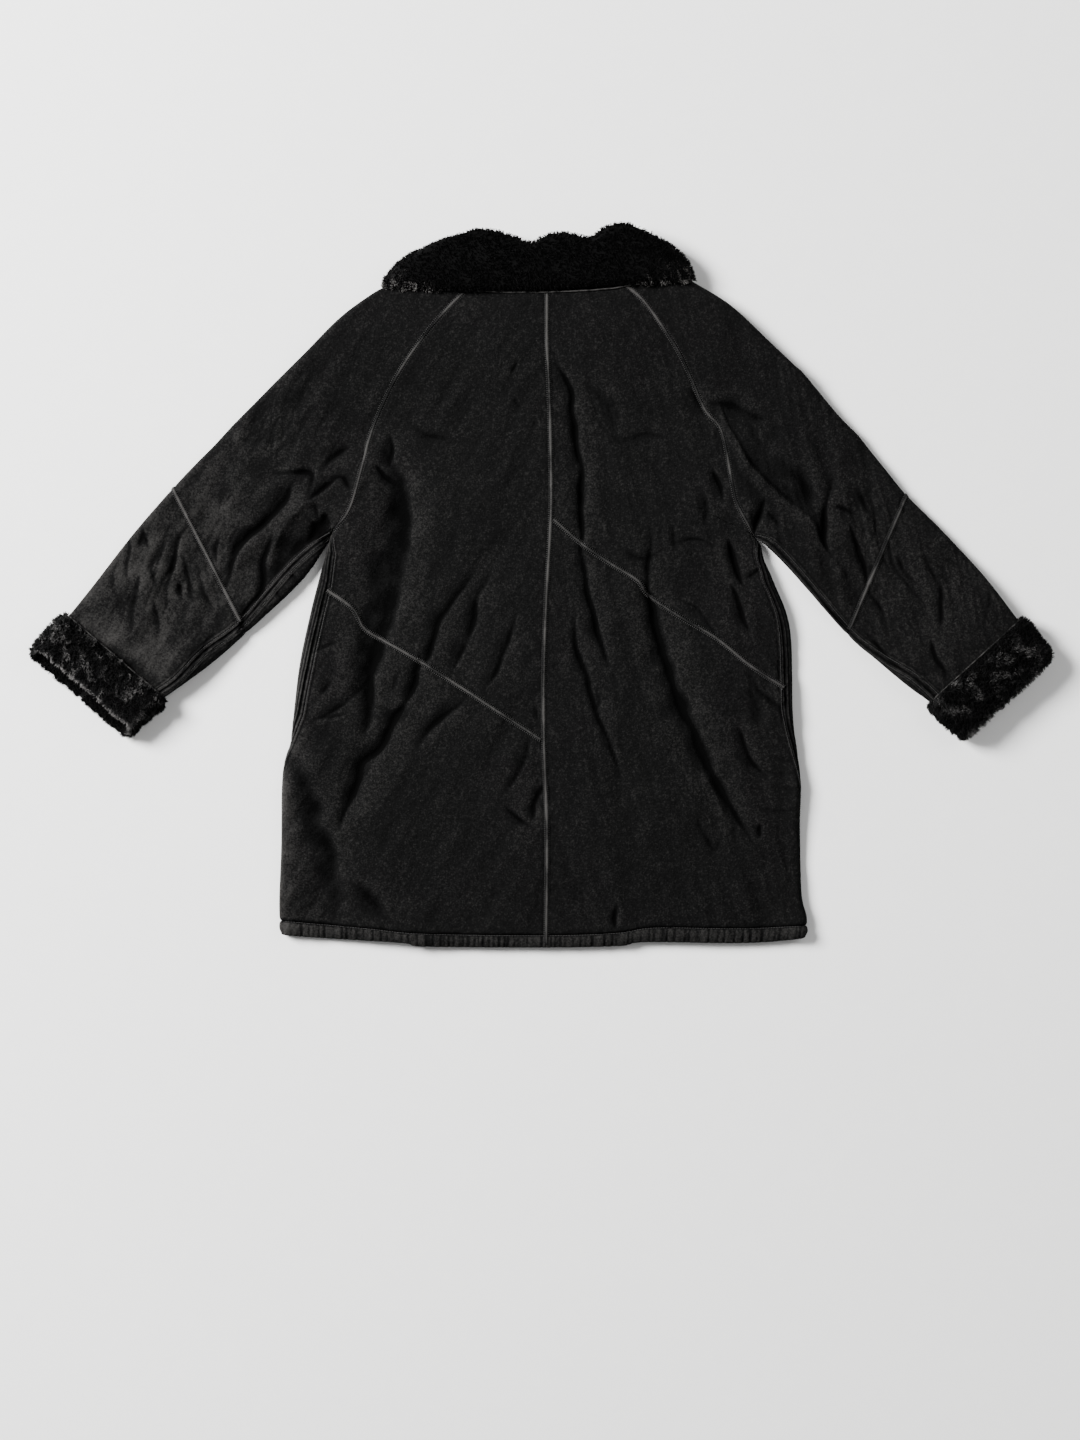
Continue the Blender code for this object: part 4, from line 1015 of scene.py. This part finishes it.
# %% Sleeve sections
SLEEVE_CLOSE, SLEEVE_TOP, SLEEVE_UNDER = 11, 70, 16  # points beside a seam, above and below
SLEEVE_FOLD, SLEEVE_BACK = 9, 12  # points round the fold, and towards the seam below
UNDER_SEAM = 44.0  # where the sleeve's hidden side gets closer points again, from its seam
ELBOW_COLUMNS = SLEEVE_CLOSE + SLEEVE_TOP + 3  # the elbow's strap ends on the upper fold


def cuff_place(side, along, place, beyond=0.0):
    """A plan point of the wrist; place is -1 on its upper fold and 1 on its lower one."""
    mid_x, mid_y, along_x, along_y, across_x, across_y, _, lower = CUFF[side]
    wide, narrow = CUFF_HALF[side]
    aside = place * (wide + (narrow - wide) * along / lower) + beyond
    return mid_x + along_x * along + across_x * aside, mid_y + along_y * along + across_y * aside


def lay_sleeve(upper, lower, seam, distance, is_open, depth=0.0):
    """Places a sleeve's cloth by its distance round each section, from its first seam."""
    width = np.linalg.norm(lower - upper, axis=1)[:, None]
    inward = ((lower - upper) / width)[:, None, :]
    half = width - 2 * EDGE_RADIUS + 2 * EDGE_QUARTER
    place = seam[:, None] + distance
    first, second = place < half / 2, place < 1.5 * half
    along = np.where(first, place, np.where(second, half - place, place - 2 * half))
    along = np.where(is_open, width - EDGE_RADIUS + EDGE_QUARTER - distance, along)
    on_upper = ((~first & second) | is_open)[..., None]
    edge = np.where(on_upper, upper[:, None, :], lower[:, None, :])
    return round_edge(edge, np.where(on_upper, inward, -inward), along, depth)


def sleeve_columns(upper, lower, seam, is_open):
    width = np.linalg.norm(lower - upper, axis=1)
    half = width - 2 * EDGE_RADIUS + 2 * EDGE_QUARTER
    to_fold = np.where(is_open, width - EDGE_RADIUS + EDGE_QUARTER, half - seam)
    total = np.where(is_open, 2 * to_fold, 2 * half)
    return np.array([np.concatenate([
        np.linspace(0, SEAM_ZONE, SLEEVE_CLOSE),
        np.linspace(SEAM_ZONE, fold - EDGE_QUARTER, SLEEVE_TOP)[1:],
        fold + EDGE_QUARTER * np.linspace(-1, 1, SLEEVE_FOLD)[1:-1],
        np.linspace(fold + EDGE_QUARTER, whole - UNDER_SEAM, SLEEVE_UNDER),
        np.linspace(whole - UNDER_SEAM, whole - SEAM_ZONE, SLEEVE_BACK)[1:],
        np.linspace(whole - SEAM_ZONE, whole, SLEEVE_CLOSE)[1:],
    ]) for fold, whole in zip(to_fold, total)])


def raglan_rows(side):
    return int(length_of(smooth(RAGLAN[side])) / FINE)


PER_SECTION = 24
for number, side in enumerate(OUTWARD):
    fractions = np.linspace(0, 1, raglan_rows(side))
    shoulder, raglan = (spread(smooth(line[side]), fractions)[:-1] for line in (SHOULDER, RAGLAN))
    top = np.column_stack([shoulder, raglan, np.zeros(len(raglan))])
    wrist = [
        (*cuff_place(side, along, -1), *cuff_place(side, along, 1), WRIST_SEAM)
        for along in (0.0, CUFF_SLEEVE)
    ]
    tube = smooth(list(SLEEVE[side]) + wrist, PER_SECTION)
    elbow = ELBOW_SECTION * PER_SECTION
    for part, line, end in (("upper", tube[: elbow + 1], "top"), ("lower", tube[elbow:], "bottom")):
        middle = (line[:, :2] + line[:, 2:4]) / 2
        line = spread(line, np.linspace(0, 1, int(length_of(middle) / FINE) + 2))
        is_open = np.zeros(len(line), bool)
        if part == "upper":
            is_open = np.concatenate([np.ones(len(top), bool), is_open])
            line = np.vstack([top, line])
        section = line[:, :2], line[:, 2:4], line[:, 4]
        distance = sleeve_columns(*section, is_open)
        outer, inner = (
            lay_sleeve(*section, distance, is_open[:, None], depth) for depth in (0, WALL)
        )
        welted = (*WELTED, 1.0 - is_open)
        seams = {"left": welted, "right": welted, end: STRAPPED}
        add_cloth(f"sleeve_{side}_{part}", outer, inner, seams, 60 + number)

# %% [markdown]
# ## Straps and stitches
# Narrow suede straps are sewn over the main seams, and their cut edges look lighter: the straps
# are of a lighter suede, and each gets a painted highlight along its raised middle and painted
# shade along its sides. Each is a small rounded section swept along its seam. A curve with a
# bevel would do as well, but here each ring can be pressed down where a stitch holds it. The
# stitches are real little arcs of thread: 2.6 mm apart, as in the photograph.

# %% Sweep a section along a seam
STITCH_PITCH, HEM_PITCH, PLAIN_PITCH, FRONT_PITCH = 2.6, 3.6, 3.0, 4.0


def along_path(points, outs, step, start=0.0, end=0.0):
    """A seam resampled evenly: places, directions out, along and aside."""
    whole = length_of(points)
    count = int((whole - start - end) / step) + 2
    fractions = np.linspace(start / whole, 1 - end / whole, count)
    both = spread(np.hstack([points, outs * 1e-4]), fractions)
    path, up = both[:, :3], unit(both[:, 3:])
    for _ in range(3):
        path[1:-1] = (path[:-2] + 2 * path[1:-1] + path[2:]) / 4
    ahead = unit(np.gradient(path, axis=0))
    aside = unit(np.cross(ahead, up))
    return path, np.cross(aside, ahead), ahead, aside


# A strap's section: millimetres aside, and up; and its painted light at each point: a highlight
# along the raised middle, shade at the edges.
STRAP_SECTION = places_in("""
    -3.0,-0.9 -2.9,0.0 -2.3,0.25 -1.9,0.85 -1.1,1.35 0,1.55 1.1,1.35 1.9,0.85 2.3,0.25
    2.9,0.0 3.0,-0.9""")
STRAP_SECTION_LIGHT = np.array([-0.9, -0.9, -0.8, -0.2, 0.6, 0.9, 0.6, -0.2, -0.8, -0.9, -0.9])
STITCH_PRESS, STITCH_SHADE = 0.30, 0.25  # a stitch holds every second ring down, and those rings are painted darker, as shade


def closed_end(rings):
    """Rings drawn together to close the end of a strap or band."""
    return rings.mean(axis=1, keepdims=True) * 0.97 + rings * 0.03


def add_strap(name, points, outs, start, end, tone):
    path, up, ahead, aside = along_path(points, outs, STITCH_PITCH / 2, start, end)
    held = np.arange(len(path)) % 2
    rows = []
    for x, z in STRAP_SECTION:
        height = z * (1 - STITCH_PRESS * held * (abs(x) > 1.5))
        rows.append(path + aside * x + up * height[:, None])
    grid = np.stack(rows, axis=1)
    grid[[0, -1]] = closed_end(grid[[0, -1]])
    wear_and_painted_light = STRAP_SECTION_LIGHT - STITCH_SHADE * held[:, None] + tone
    wear_and_painted_light = wear_and_painted_light + 0.35 * read(WOBBLE[0], grid[..., 0], grid[..., 1])
    marks = {"wear_and_painted_light": wear_and_painted_light.ravel()}
    add_tube("strap_of_" + name, "strap", grid, STRAP_SUEDE, marks, "strap_" + name)


def grown_lines(lines, radii, pointed, aside):
    """Thin three-sided tubes along many short lines, or pointed ones: points and faces."""
    steps = lines.shape[1]
    ahead = unit(lines[:, 1] - lines[:, 0])
    first = unit(np.cross(ahead, aside))
    second = np.cross(ahead, first)
    rings = [
        lines[:, step] + radii[step] * (first * cos(turn) + second * sin(turn))
        for step in range(steps - pointed) for turn in (0, 2 * pi / 3, 4 * pi / 3)
    ]
    points = np.stack(rings + [lines[:, -1]] * pointed, axis=1)
    starts = np.arange(len(lines))[:, None, None] * points.shape[1]
    quads = np.array([
        (3 * step + k, 3 * step + n, 3 * step + 3 + n, 3 * step + 3 + k)
        for step in range(steps - 1 - pointed) for k, n in ((0, 1), (1, 2), (2, 0))
    ])
    faces = (starts + quads).reshape(-1, 4).tolist()
    if pointed:
        last = 3 * (steps - 2)
        ends = np.array([(last + k, last + (k + 1) % 3, last + 3) for k in range(3)])
        faces += (starts + ends).reshape(-1, 3).tolist()
    return points.reshape(-1, 3), faces


STITCHES = []
EDGE_ARC = (1.9, 0.9), (2.9, 0.75), (3.8, 0.1)  # over a strap's edge: aside, and up
LINE_ARC = (-1.4, -0.2), (0, 0.32), (1.4, -0.2)  # a running stitch: ahead, and up


def edge_stitches(points, outs, start=0.0, end=0.0):
    """Short arcs of thread over both edges of a strap."""
    half = STITCH_PITCH / 2
    path, up, ahead, aside = along_path(points, outs, STITCH_PITCH, start + half, end + half)
    for edge in (-1, 1):
        STITCHES.append(np.stack([path + aside * edge * x + up * z for x, z in EDGE_ARC], axis=1))


def line_stitches(points, outs, pitch, start, end):
    """Running stitches along a seam."""
    path, up, ahead, aside = along_path(points, outs, pitch, start, end)
    STITCHES.append(np.stack([path + ahead * x + up * z for x, z in LINE_ARC], axis=1))


# %% Straps over the seams, each with what it stops short of at its two ends
# Painted light by the way each strap runs: those that cross the light from the left are lighter,
# slanting ones darker.
STRAP_LIGHT_BY_WAY = {"centre": 0.1, "raglan": -0.2, "yoke": -0.1, "elbow": 0.25}
STRAP_SEAT = 0.9  # a strap's middle lies this much above its seam
HEM_ROWS = slice(7, 1, -1)  # the centre strap runs down over the hem
seams = {}
centre = [LAID["hem_back_left"], LAID["back_left_lower"], LAID["back_left_upper"]]
drawn, out = (
    np.vstack([hem[HEM_ROWS, -1], low[1:, -1], high[1:, -1]]) for hem, low, high in zip(*centre)
)
seams["centre_back"] = drawn, out, 0.5, 8.0
for side in OUTWARD:
    (high, high_out), (near, near_out) = LAID[f"back_{side}_upper"], LAID[f"sleeve_{side}_upper"]
    rows = len(raglan_up(side, 1, FINE))
    seams[f"raglan_{side}"] = high[-rows:, 0], high_out[-rows:, 0], 3.0, 8.0
    seams[f"yoke_{side}"] = high[0], high_out[0], 2.0, 4.0
    seams[f"elbow_{side}"] = near[-1, :ELBOW_COLUMNS], near_out[-1, :ELBOW_COLUMNS], 3.0, 0.0
for name, (points, outs, start, end) in seams.items():
    points = points + outs * STRAP_SEAT
    add_strap(name, points, outs, start, end, STRAP_LIGHT_BY_WAY[name.split("_")[0]])
    edge_stitches(points, outs, start, end)
whole = sum(length_of(points) for points, *_ in seams.values())
print("straps:", len(seams), "in metres:", round(whole * MM, 2))

# %% Stitches beside the plain seams and along the hem
BELOW_CUFF = int(20 / FINE)  # rows of the lower sleeve that the cuff hides
for side in OUTWARD:
    for part in ("upper", "lower"):
        drawn, out = LAID[f"back_{side}_{part}"]
        rows = len(drawn) - (len(raglan_up(side, 1, FINE)) if part == "upper" else 0)
        line_stitches(drawn[:rows, 5], out[:rows, 5], PLAIN_PITCH, 4.0, 4.0)
        drawn, out = LAID[f"sleeve_{side}_{part}"]
        rows = slice(raglan_rows(side), None) if part == "upper" else slice(-BELOW_CUFF)
        for column in (4, -5):
            line_stitches(drawn[rows, column], out[rows, column], PLAIN_PITCH, 4.0, 4.0)
    for part in ("back", "front"):
        drawn, out = LAID[f"hem_{part}_{side}"]
        line_stitches(drawn[0], out[0], HEM_PITCH, 2.0, 2.0)
    drawn, out = LAID[f"front_{side}"]
    line_stitches(drawn[:, -2], out[:, -2], FRONT_PITCH, 6.0, 12.0)
lines = np.concatenate(STITCHES)
aside = lines[:, 2] - lines[:, 0] + [0.1, 0.2, 5.0]
points, faces = grown_lines(lines, (0.34, 0.38, 0.34), False, aside)
add_piece("thread_stitches", "strap", points, faces, THREAD, {})
print("stitches:", len(lines), "triangles:", 2 * len(faces))

# %% [markdown]
# ## Wool collar and cuffs
# Hair particles would look right, but they don't leave Blender with the model. So the wool
# is real tufts: many thousand small pointed tubes on a soft body that is a little slimmer
# than the solid. How they lean decides the look. Leaning together they make locks.

# %% Tufts on a body of wool
LOCK_SIZES = (11, 71), (11, 72), (24, 73), (6, 74), (6, 75)
LOCKS = [soft_noise(size, size, 0, seed) for size, seed in LOCK_SIZES]
TIP_MARKS = [0.1, 0.1, 0.1, 0.6, 0.6, 0.6, 1.0]  # a tuft's seven points, from root to tip
TALL, OWN_SHINE = (0.75, 1.15), (0.82, 1.15)  # how uneven tufts are


def tufts(name, grid, outs, weight, shine, count, length, lean, seed, finish, curl, width):
    """Pointed tufts that grow from a grid where its weight says; shine tells how light they are."""
    rng = np.random.default_rng(seed)
    a, b, c, d = grid[:-1, :-1], grid[:-1, 1:], grid[1:, 1:], grid[1:, :-1]
    size = np.linalg.norm(np.cross(c - a, d - b), axis=2) / 2
    chance = (size * weight[:-1, :-1]).ravel()
    cell = rng.choice(chance.size, count, p=chance / chance.sum())
    at = cell // size.shape[1], cell % size.shape[1]
    s, t = rng.random((count, 1)), rng.random((count, 1))
    root = (a[at] * (1 - t) + b[at] * t) * (1 - s) + (d[at] * (1 - t) + c[at] * t) * s
    x, y, out = root[:, 0], root[:, 1], outs[at]
    lock, small = (
        np.column_stack([read(LOCKS[k], x, y), read(LOCKS[k + 1], x, y), 0 * x]) for k in (0, 3)
    )
    together, by_lock, by_curl, by_chance = lean
    grow = out + together + by_lock * lock + by_curl * small
    grow = unit(grow + by_chance * rng.standard_normal((count, 3)))
    tall = length * rng.uniform(*TALL, (count, 1)) * (1 + 0.12 * read(LOCKS[2], x, y))[:, None]
    bend = rng.standard_normal((count, 3)) * curl * tall
    middle = root + grow * tall * 0.55 + bend * 0.6
    tip = root + grow * tall - bend * 0.1
    lines = np.stack([root - out * 0.6, middle, tip], axis=1)
    aside = rng.standard_normal((count, 3))
    points, faces = grown_lines(lines, (width, width * 0.72), True, aside)
    points[:, 2] = np.maximum(points[:, 2], 0.0)
    # Painted highlight: each tuft is lighter towards its tip, by the shine of its place.
    own = shine[at] * rng.uniform(*OWN_SHINE, count)
    marks = {"tip": np.tile(TIP_MARKS, count) * np.repeat(own, len(TIP_MARKS))}
    print(name, "tufts:", count, "triangles:", 9 * count)
    return add_piece(name, "wool", points, faces, finish, marks)


# %% Rings round a flattened tube, and what is made on them
TUFT_ROOM, FOOT_UP = 2.6, FUR_GAP + 2
PILE = FUR - TUFT_ROOM  # the body's height; the tufts stand on it
MID_Z, HALF_Z = LIFT + LIE / 2, LIE / 2
BODY_SHINE, UNDER_WEIGHT = 0.3, 0.28  # painted shade: the body under the tufts is darker than they are, and thinner below
EDGE_BAND, EDGE_BAND_STEP = 0.9, 2.0  # the bound edge's radius, and the way between its rings


def ring(above, turns, under_left, under_right):
    """(place, angle) round the tube: place is from -1 to 1 between its folds."""
    places = [(t, -pi / 2) for t in under_left]
    places += [(-1, -pi / 2 - pi * k / turns) for k in range(1, turns)]
    places += [(t, pi / 2) for t in np.linspace(-1, 1, above + 1)]
    places += [(1, pi / 2 - pi * k / turns) for k in range(1, turns)]
    return places + [(t, -pi / 2) for t in under_right]


def wool_profile(along, tip, full, count):
    """Round a turned skin, from the cloth to its rolled edge and back: along, and up."""
    inner = -WALL + 0.6
    up = [0, inner, inner, -WALL * 0.3, PILE * tip, PILE * full, PILE + FUR_GAP, PILE + FUR_GAP]
    up += [PILE * 0.7, FOOT_UP, FUR_GAP, FUR_GAP, 0, 0]
    line = smooth(list(zip(along + along[:1], up)), 8)
    return spread(line, np.linspace(0, 1, count, endpoint=False))


def add_wool(name, grid, profile, shine, top_rows, inside, closed, finish, tuft_options):
    """The body of a collar or cuff and the tufts on it, also this far inside its opening."""
    outs = normals(grid)
    top = outs[np.ix_(top_rows, np.flatnonzero(profile[:, 1] > PILE * 0.85))]
    outs = outs * np.sign(top[..., 2].sum())
    body = add_tube(
        "wool_body_of_" + name, "wool", grid, finish, {"tip": BODY_SHINE * shine.ravel()}, name,
        round_rows=closed,
    )
    covered = (profile[:, 1] > 1.2) | (profile[:, 0] > profile[:, 0].max() - inside)
    weight = covered[None, :] * (UNDER_WEIGHT + (1 - UNDER_WEIGHT) * (outs[..., 2] > -0.5))
    fur = tufts("wool_tufts_of_" + name, grid, outs, weight, shine, finish=finish, **tuft_options)
    return body, fur


def bound_edge(name, grid, profile, foot, rows, move, wear_and_painted_light):
    """A narrow bound edge of leather between wool and suede, along one column of the grid."""
    column = np.argmin(np.hypot(profile[:, 0] - foot, profile[:, 1] - FOOT_UP))
    path = grid[rows, column] + move
    outs = np.tile([0.0, 0.0, 1.0], (len(path), 1))
    path, up, ahead, aside = along_path(path, outs, EDGE_BAND_STEP)
    turns = np.linspace(0, 2 * pi, 7)[:-1]
    grid = np.stack([path + EDGE_BAND * (aside * cos(t) + up * sin(t)) for t in turns], axis=1)
    wear_and_painted_light = wear_and_painted_light + 0.4 * read(LOCKS[3], grid[..., 0], grid[..., 1])
    add_tube("bound_edge_of_" + name, "strap", grid, STRAP_SUEDE, {"wear_and_painted_light": wear_and_painted_light.ravel()})


# %% Cuffs
CUFF_LIGHT = {"left": 0.50, "right": 0.27}  # painted highlight on the wool, more on the left cuff, on the lamp's side; that one is also more flattened
CLUMP_SHINE_BROAD, CLUMP_SHINE_FINE, CLUMP_SHINE_LIMITS = 0.55, 0.4, (0.08, 1.6)
WRIST_LIGHT, WRIST_WIDTH = 1.5, 2.2  # a painted highlight on the rolled edge at the wrist


def cuff_grid(side):
    upper, lower = CUFF[side][6:]
    start, roll = CUFF_SLEEVE + 0.5, PILE * 0.9
    rows, shine = [], []
    for place, angle in ring(44, 12, np.linspace(0, -1, 12), np.linspace(1, 0, 12)[:-1]):
        above = (1 + sin(angle)) / 2
        reach = lower + (upper - lower) * above**2
        tip = reach - TUFT_ROOM
        turn = tip - roll
        profile = wool_profile([
            start, start, turn, tip - 3, tip, tip - 3, turn, roll, 2.5, 1.2, 1.5, turn - 0.4,
            turn - 1.4,
        ], 0.45, 0.9, 40)
        along, up = profile.T
        beyond = (EDGE_RADIUS + up) * cos(angle) - place * EDGE_RADIUS
        x, y = cuff_place(side, along, place, beyond)
        rows.append(np.column_stack([x, y, MID_Z + (HALF_Z + up) * sin(angle)]))
        # Painted highlight on clumps of wool, the upper side lighter than the lower, which is in
        # shade; inside, the wool is painted dark, as shade.
        clump_shine = CLUMP_SHINE_BROAD * read(LOCKS[0], x, y) + CLUMP_SHINE_FINE * read(LOCKS[3], x, y)
        clump_shine = np.clip(clump_shine + CUFF_LIGHT[side], *CLUMP_SHINE_LIMITS)
        clump_shine = (0.25 + clump_shine) * (0.25 + 0.75 * above)
        rim = WRIST_LIGHT * above * bump(along - reach + 2.5, WRIST_WIDTH)
        shine.append(np.where(up > 0.5, clump_shine + rim, 0.05))
    return np.array(rows), profile, np.array(shine)


for number, side in enumerate(OUTWARD):
    name, along = f"cuff_{side}", np.array([*CUFF[side][2:4], 0.0])
    grid, profile, shine = cuff_grid(side)
    options = dict(count=13000, length=5.6, seed=80 + number, curl=0.25, width=0.75)
    options["lean"] = 0.25 * along, 0.45, 0.35, 0.22
    add_wool(name, grid, profile, shine, range(30, 60), 14, True, CUFF_WOOL, options)
    bound_edge(name, grid, profile, 1.2, slice(14, 68), [0, 0, 1.6] - 1.8 * along, 0.6)


# %% Collar
NECK_EDGE_LIGHT, NECK_EDGE_WIDTH = 1.1, 5.0  # a painted highlight on the frizzed wool at the collar's lower edge
CURL_LIGHT, CURL_WIDTH = 2.0, 22.0  # and painted highlights on the curls at its two ends
SPOTTY, SPOTTY_LIMITS = 0.35, (0.1, 1.2)


def collar_grid():
    foot_half, top_half = COLLAR_NECK[1] - EDGE_RADIUS, COLLAR_TOP[1] - EDGE_RADIUS
    starts = [(CENTRE_FRONT + way * COLLAR_PART - COLLAR_NECK[0]) / foot_half for way in (-1, 1)]
    under = np.linspace(starts[0], -1, 22), np.linspace(starts[1], 1, 22)[::-1]
    humps = smooth(HUMPS, 6)
    rows, shine = [], []
    for place, angle in ring(110, 12, *under):
        foot_x, top_x = COLLAR_NECK[0] + place * foot_half, COLLAR_TOP[0] + place * top_half
        fold_x = foot_x + EDGE_RADIUS * cos(angle)
        in_front = sin(angle) < -0.99
        foot_y = float(front_neck_y(fold_x) if in_front else height_on(NECK_SEAM, fold_x))
        top_y = COLLAR_TOP_Y + height_on(humps, top_x + (EDGE_RADIUS + FUR) * cos(angle))
        top_y -= COLLAR_FRONT_LOWER * max(-sin(angle), 0)
        height = np.hypot(top_x - foot_x, top_y - foot_y)
        turn, hang = height - 13, COLLAR_HANG * sin(angle) ** 4
        profile = wool_profile([
            0.5, 0.5, turn, height - 5.5, height - TUFT_ROOM, height - 5, turn, 6, 2.5 - hang,
            1.5 - hang, 2 - hang, turn - 2, turn - 3,
        ], 0.4, 0.85, 48)
        along, up = profile.T
        t = along / height
        x = foot_x + (top_x - foot_x) * t + (EDGE_RADIUS + up) * cos(angle)
        swell = COLLAR_SWELL["left" if place < 0 else "right"] * abs(place) ** 5
        y = foot_y + (top_y - foot_y) * t + swell * 2.6 * np.sqrt(np.clip(t, 0, 1)) * (1 - t)
        rows.append(np.column_stack([x, y, MID_Z + (HALF_Z + up) * sin(angle)]))
        ends = soft_step(abs(place), 0.55, 0.95)
        spotty = np.clip(0.55 + SPOTTY * read(LOCKS[3], x, y), *SPOTTY_LIMITS)
        near = bump(np.clip(along + 2, 0, 99), NECK_EDGE_WIDTH)
        edge = NECK_EDGE_LIGHT * spotty * (0.5 + 0.8 * ends) * near
        curls = CURL_LIGHT * ends * spotty * bump(np.clip(along, 0, 99), CURL_WIDTH)
        faint = np.clip(0.08 * read(LOCKS[2], x, y), 0, 0.2)
        # Painted highlights on the outside; the inside is painted dark, as shade.
        shine.append(np.where(up > 0.5, 0.08 + edge + curls + faint, 0.02))
    return np.array(rows), profile, np.array(shine)


grid, profile, shine = collar_grid()
grid = np.concatenate([closed_end(grid[:1]), grid, closed_end(grid[-1:])])
shine = np.concatenate([shine[:1], shine, shine[-1:]])
options = dict(count=17500, length=4.4, seed=90, curl=0.35, width=0.7)
options["lean"] = np.array([0, -0.35, 0]), 0.18, 0.25, 0.25
top_rows = range(40, 140)
add_wool("collar", grid, profile, shine, top_rows, 16, False, COLLAR_WOOL, options)
bound_edge("collar", grid, profile, 1.5, slice(25, 155), [0, -1.6, 1.2], 0.7)

# %% [markdown]
# ## Floor, light and camera
# The coat was photographed from straight above in soft light that comes a little more from
# the left, and its background was cut away to white. A pale floor and two large soft lamps
# give the same. The camera has an 85 mm lens and looks straight down.

# %% Floor
FLOOR_REACH, FLOOR_LOW = 6, -0.0006  # metres


def pale_floor():
    finish, tree, at = new_finish("pale_matt_floor")
    cloud = add_node(tree, "TexNoise", {"Scale": per_mm(30)}, at)
    ramp = add_node(tree, "ValToRGB", None, {"Fac": (cloud, "Fac")})
    set_colours(ramp.color_ramp.elements, "#f7f7f6", "#fbfbfa")
    paint = add_node(tree, "BsdfPrincipled", {"Roughness": 0.9}, {"Base Color": (ramp, "Color")})
    add_node(tree, "OutputMaterial", None, {"Surface": (paint, "BSDF")})
    return finish


floor_mesh = bpy.data.meshes.new("floor")
corners = ((-1, -1), (1, -1), (1, 1), (-1, 1))
corners = [(x * FLOOR_REACH, y * FLOOR_REACH, FLOOR_LOW) for x, y in corners]
floor_mesh.from_pydata(corners, [], [(0, 1, 2, 3)])
floor_mesh.materials.append(pale_floor())
put("floor", floor_mesh)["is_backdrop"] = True

# %% Soft light
world = bpy.data.worlds.new("soft_room_light")
world.use_nodes = True
world.node_tree.nodes["Background"].inputs["Color"].default_value = (1, 1, 1, 1)
world.node_tree.nodes["Background"].inputs["Strength"].default_value = 0.30
bpy.context.scene.world = world


def soft_lamp(name, place, size, watts):
    """A square lamp that looks at the middle of the coat."""
    lamp = bpy.data.lights.new(name, "AREA")
    lamp.shape, lamp.size, lamp.energy = "SQUARE", size, watts
    made = put(name, lamp)
    made.location = place
    made.rotation_euler = (-Vector(place)).to_track_quat("-Z", "Y").to_euler()


soft_lamp("large_lamp_left", (-3.7, 1.7, 3.3), 2.0, 1120)
soft_lamp("large_lamp_right", (3.0, 1.5, 3.4), 2.4, 60)

# %% Camera straight above
LENS, SENSOR, SEEN_LONG = 85.0, 36.0, 1.872  # the picture's long side is 1.872 m
eye = bpy.data.cameras.new("camera_above")
eye.lens, eye.sensor_width, eye.sensor_fit, eye.clip_end = LENS, SENSOR, "AUTO", 50.0
camera = put("camera_above", eye)
camera.location = (-0.002, -0.174, 0.016 + SEEN_LONG * LENS / SENSOR)
bpy.context.scene.camera = camera
print("camera height in metres:", round(camera.location.z, 3))

# %% [markdown]
# ## What each piece was cut to
# A sheet of cloth is only believable if it is as large as what was cut. Here are the sizes of
# what shows of each piece, laid flat: its greatest width and length, and the share of that
# rectangle which it fills. The sleeves count all round. Collar and cuffs are doubled skins.

CUT = {
    "back_left_upper": (359, 578, 0.58, "front_left"),
    "back_left_lower": (376, 441, 0.73, "front_left"),
    "back_right_upper": (390, 591, 0.40, "front_right"),
    "back_right_lower": (387, 546, 0.68, "front_right"),
    "front_left": (349, 886, 0.76, ""),
    "front_right": (348, 902, 0.75, ""),
    "hem_back_left": (379, 36, 0.85, "hem_front_left"),
    "hem_back_right": (371, 37, 0.89, "hem_front_right"),
    "hem_front_left": (350, 36, 0.86, ""),
    "hem_front_right": (348, 36, 0.91, ""),
    "sleeve_left_upper": (448, 550, 0.59, ""),
    "sleeve_left_lower": (445, 243, 0.73, ""),
    "sleeve_right_upper": (408, 563, 0.60, ""),
    "sleeve_right_lower": (417, 246, 0.74, ""),
}
for name, (wide, tall, filled, below) in CUT.items():
    print(name, wide, "x", tall, "mm")

WOOL_CUT = {"collar": (664, 193), "cuff_left": (350, 98), "cuff_right": (327, 107)}
for name, (wide, tall) in WOOL_CUT.items():
    print(name, wide, "x", tall, "mm")

# %% Size of the dressed coat
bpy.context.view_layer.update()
faces = [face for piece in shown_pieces() if piece.type == "MESH" for face in piece.data.polygons]
print("triangles:", sum(len(face.vertices) - 2 for face in faces))
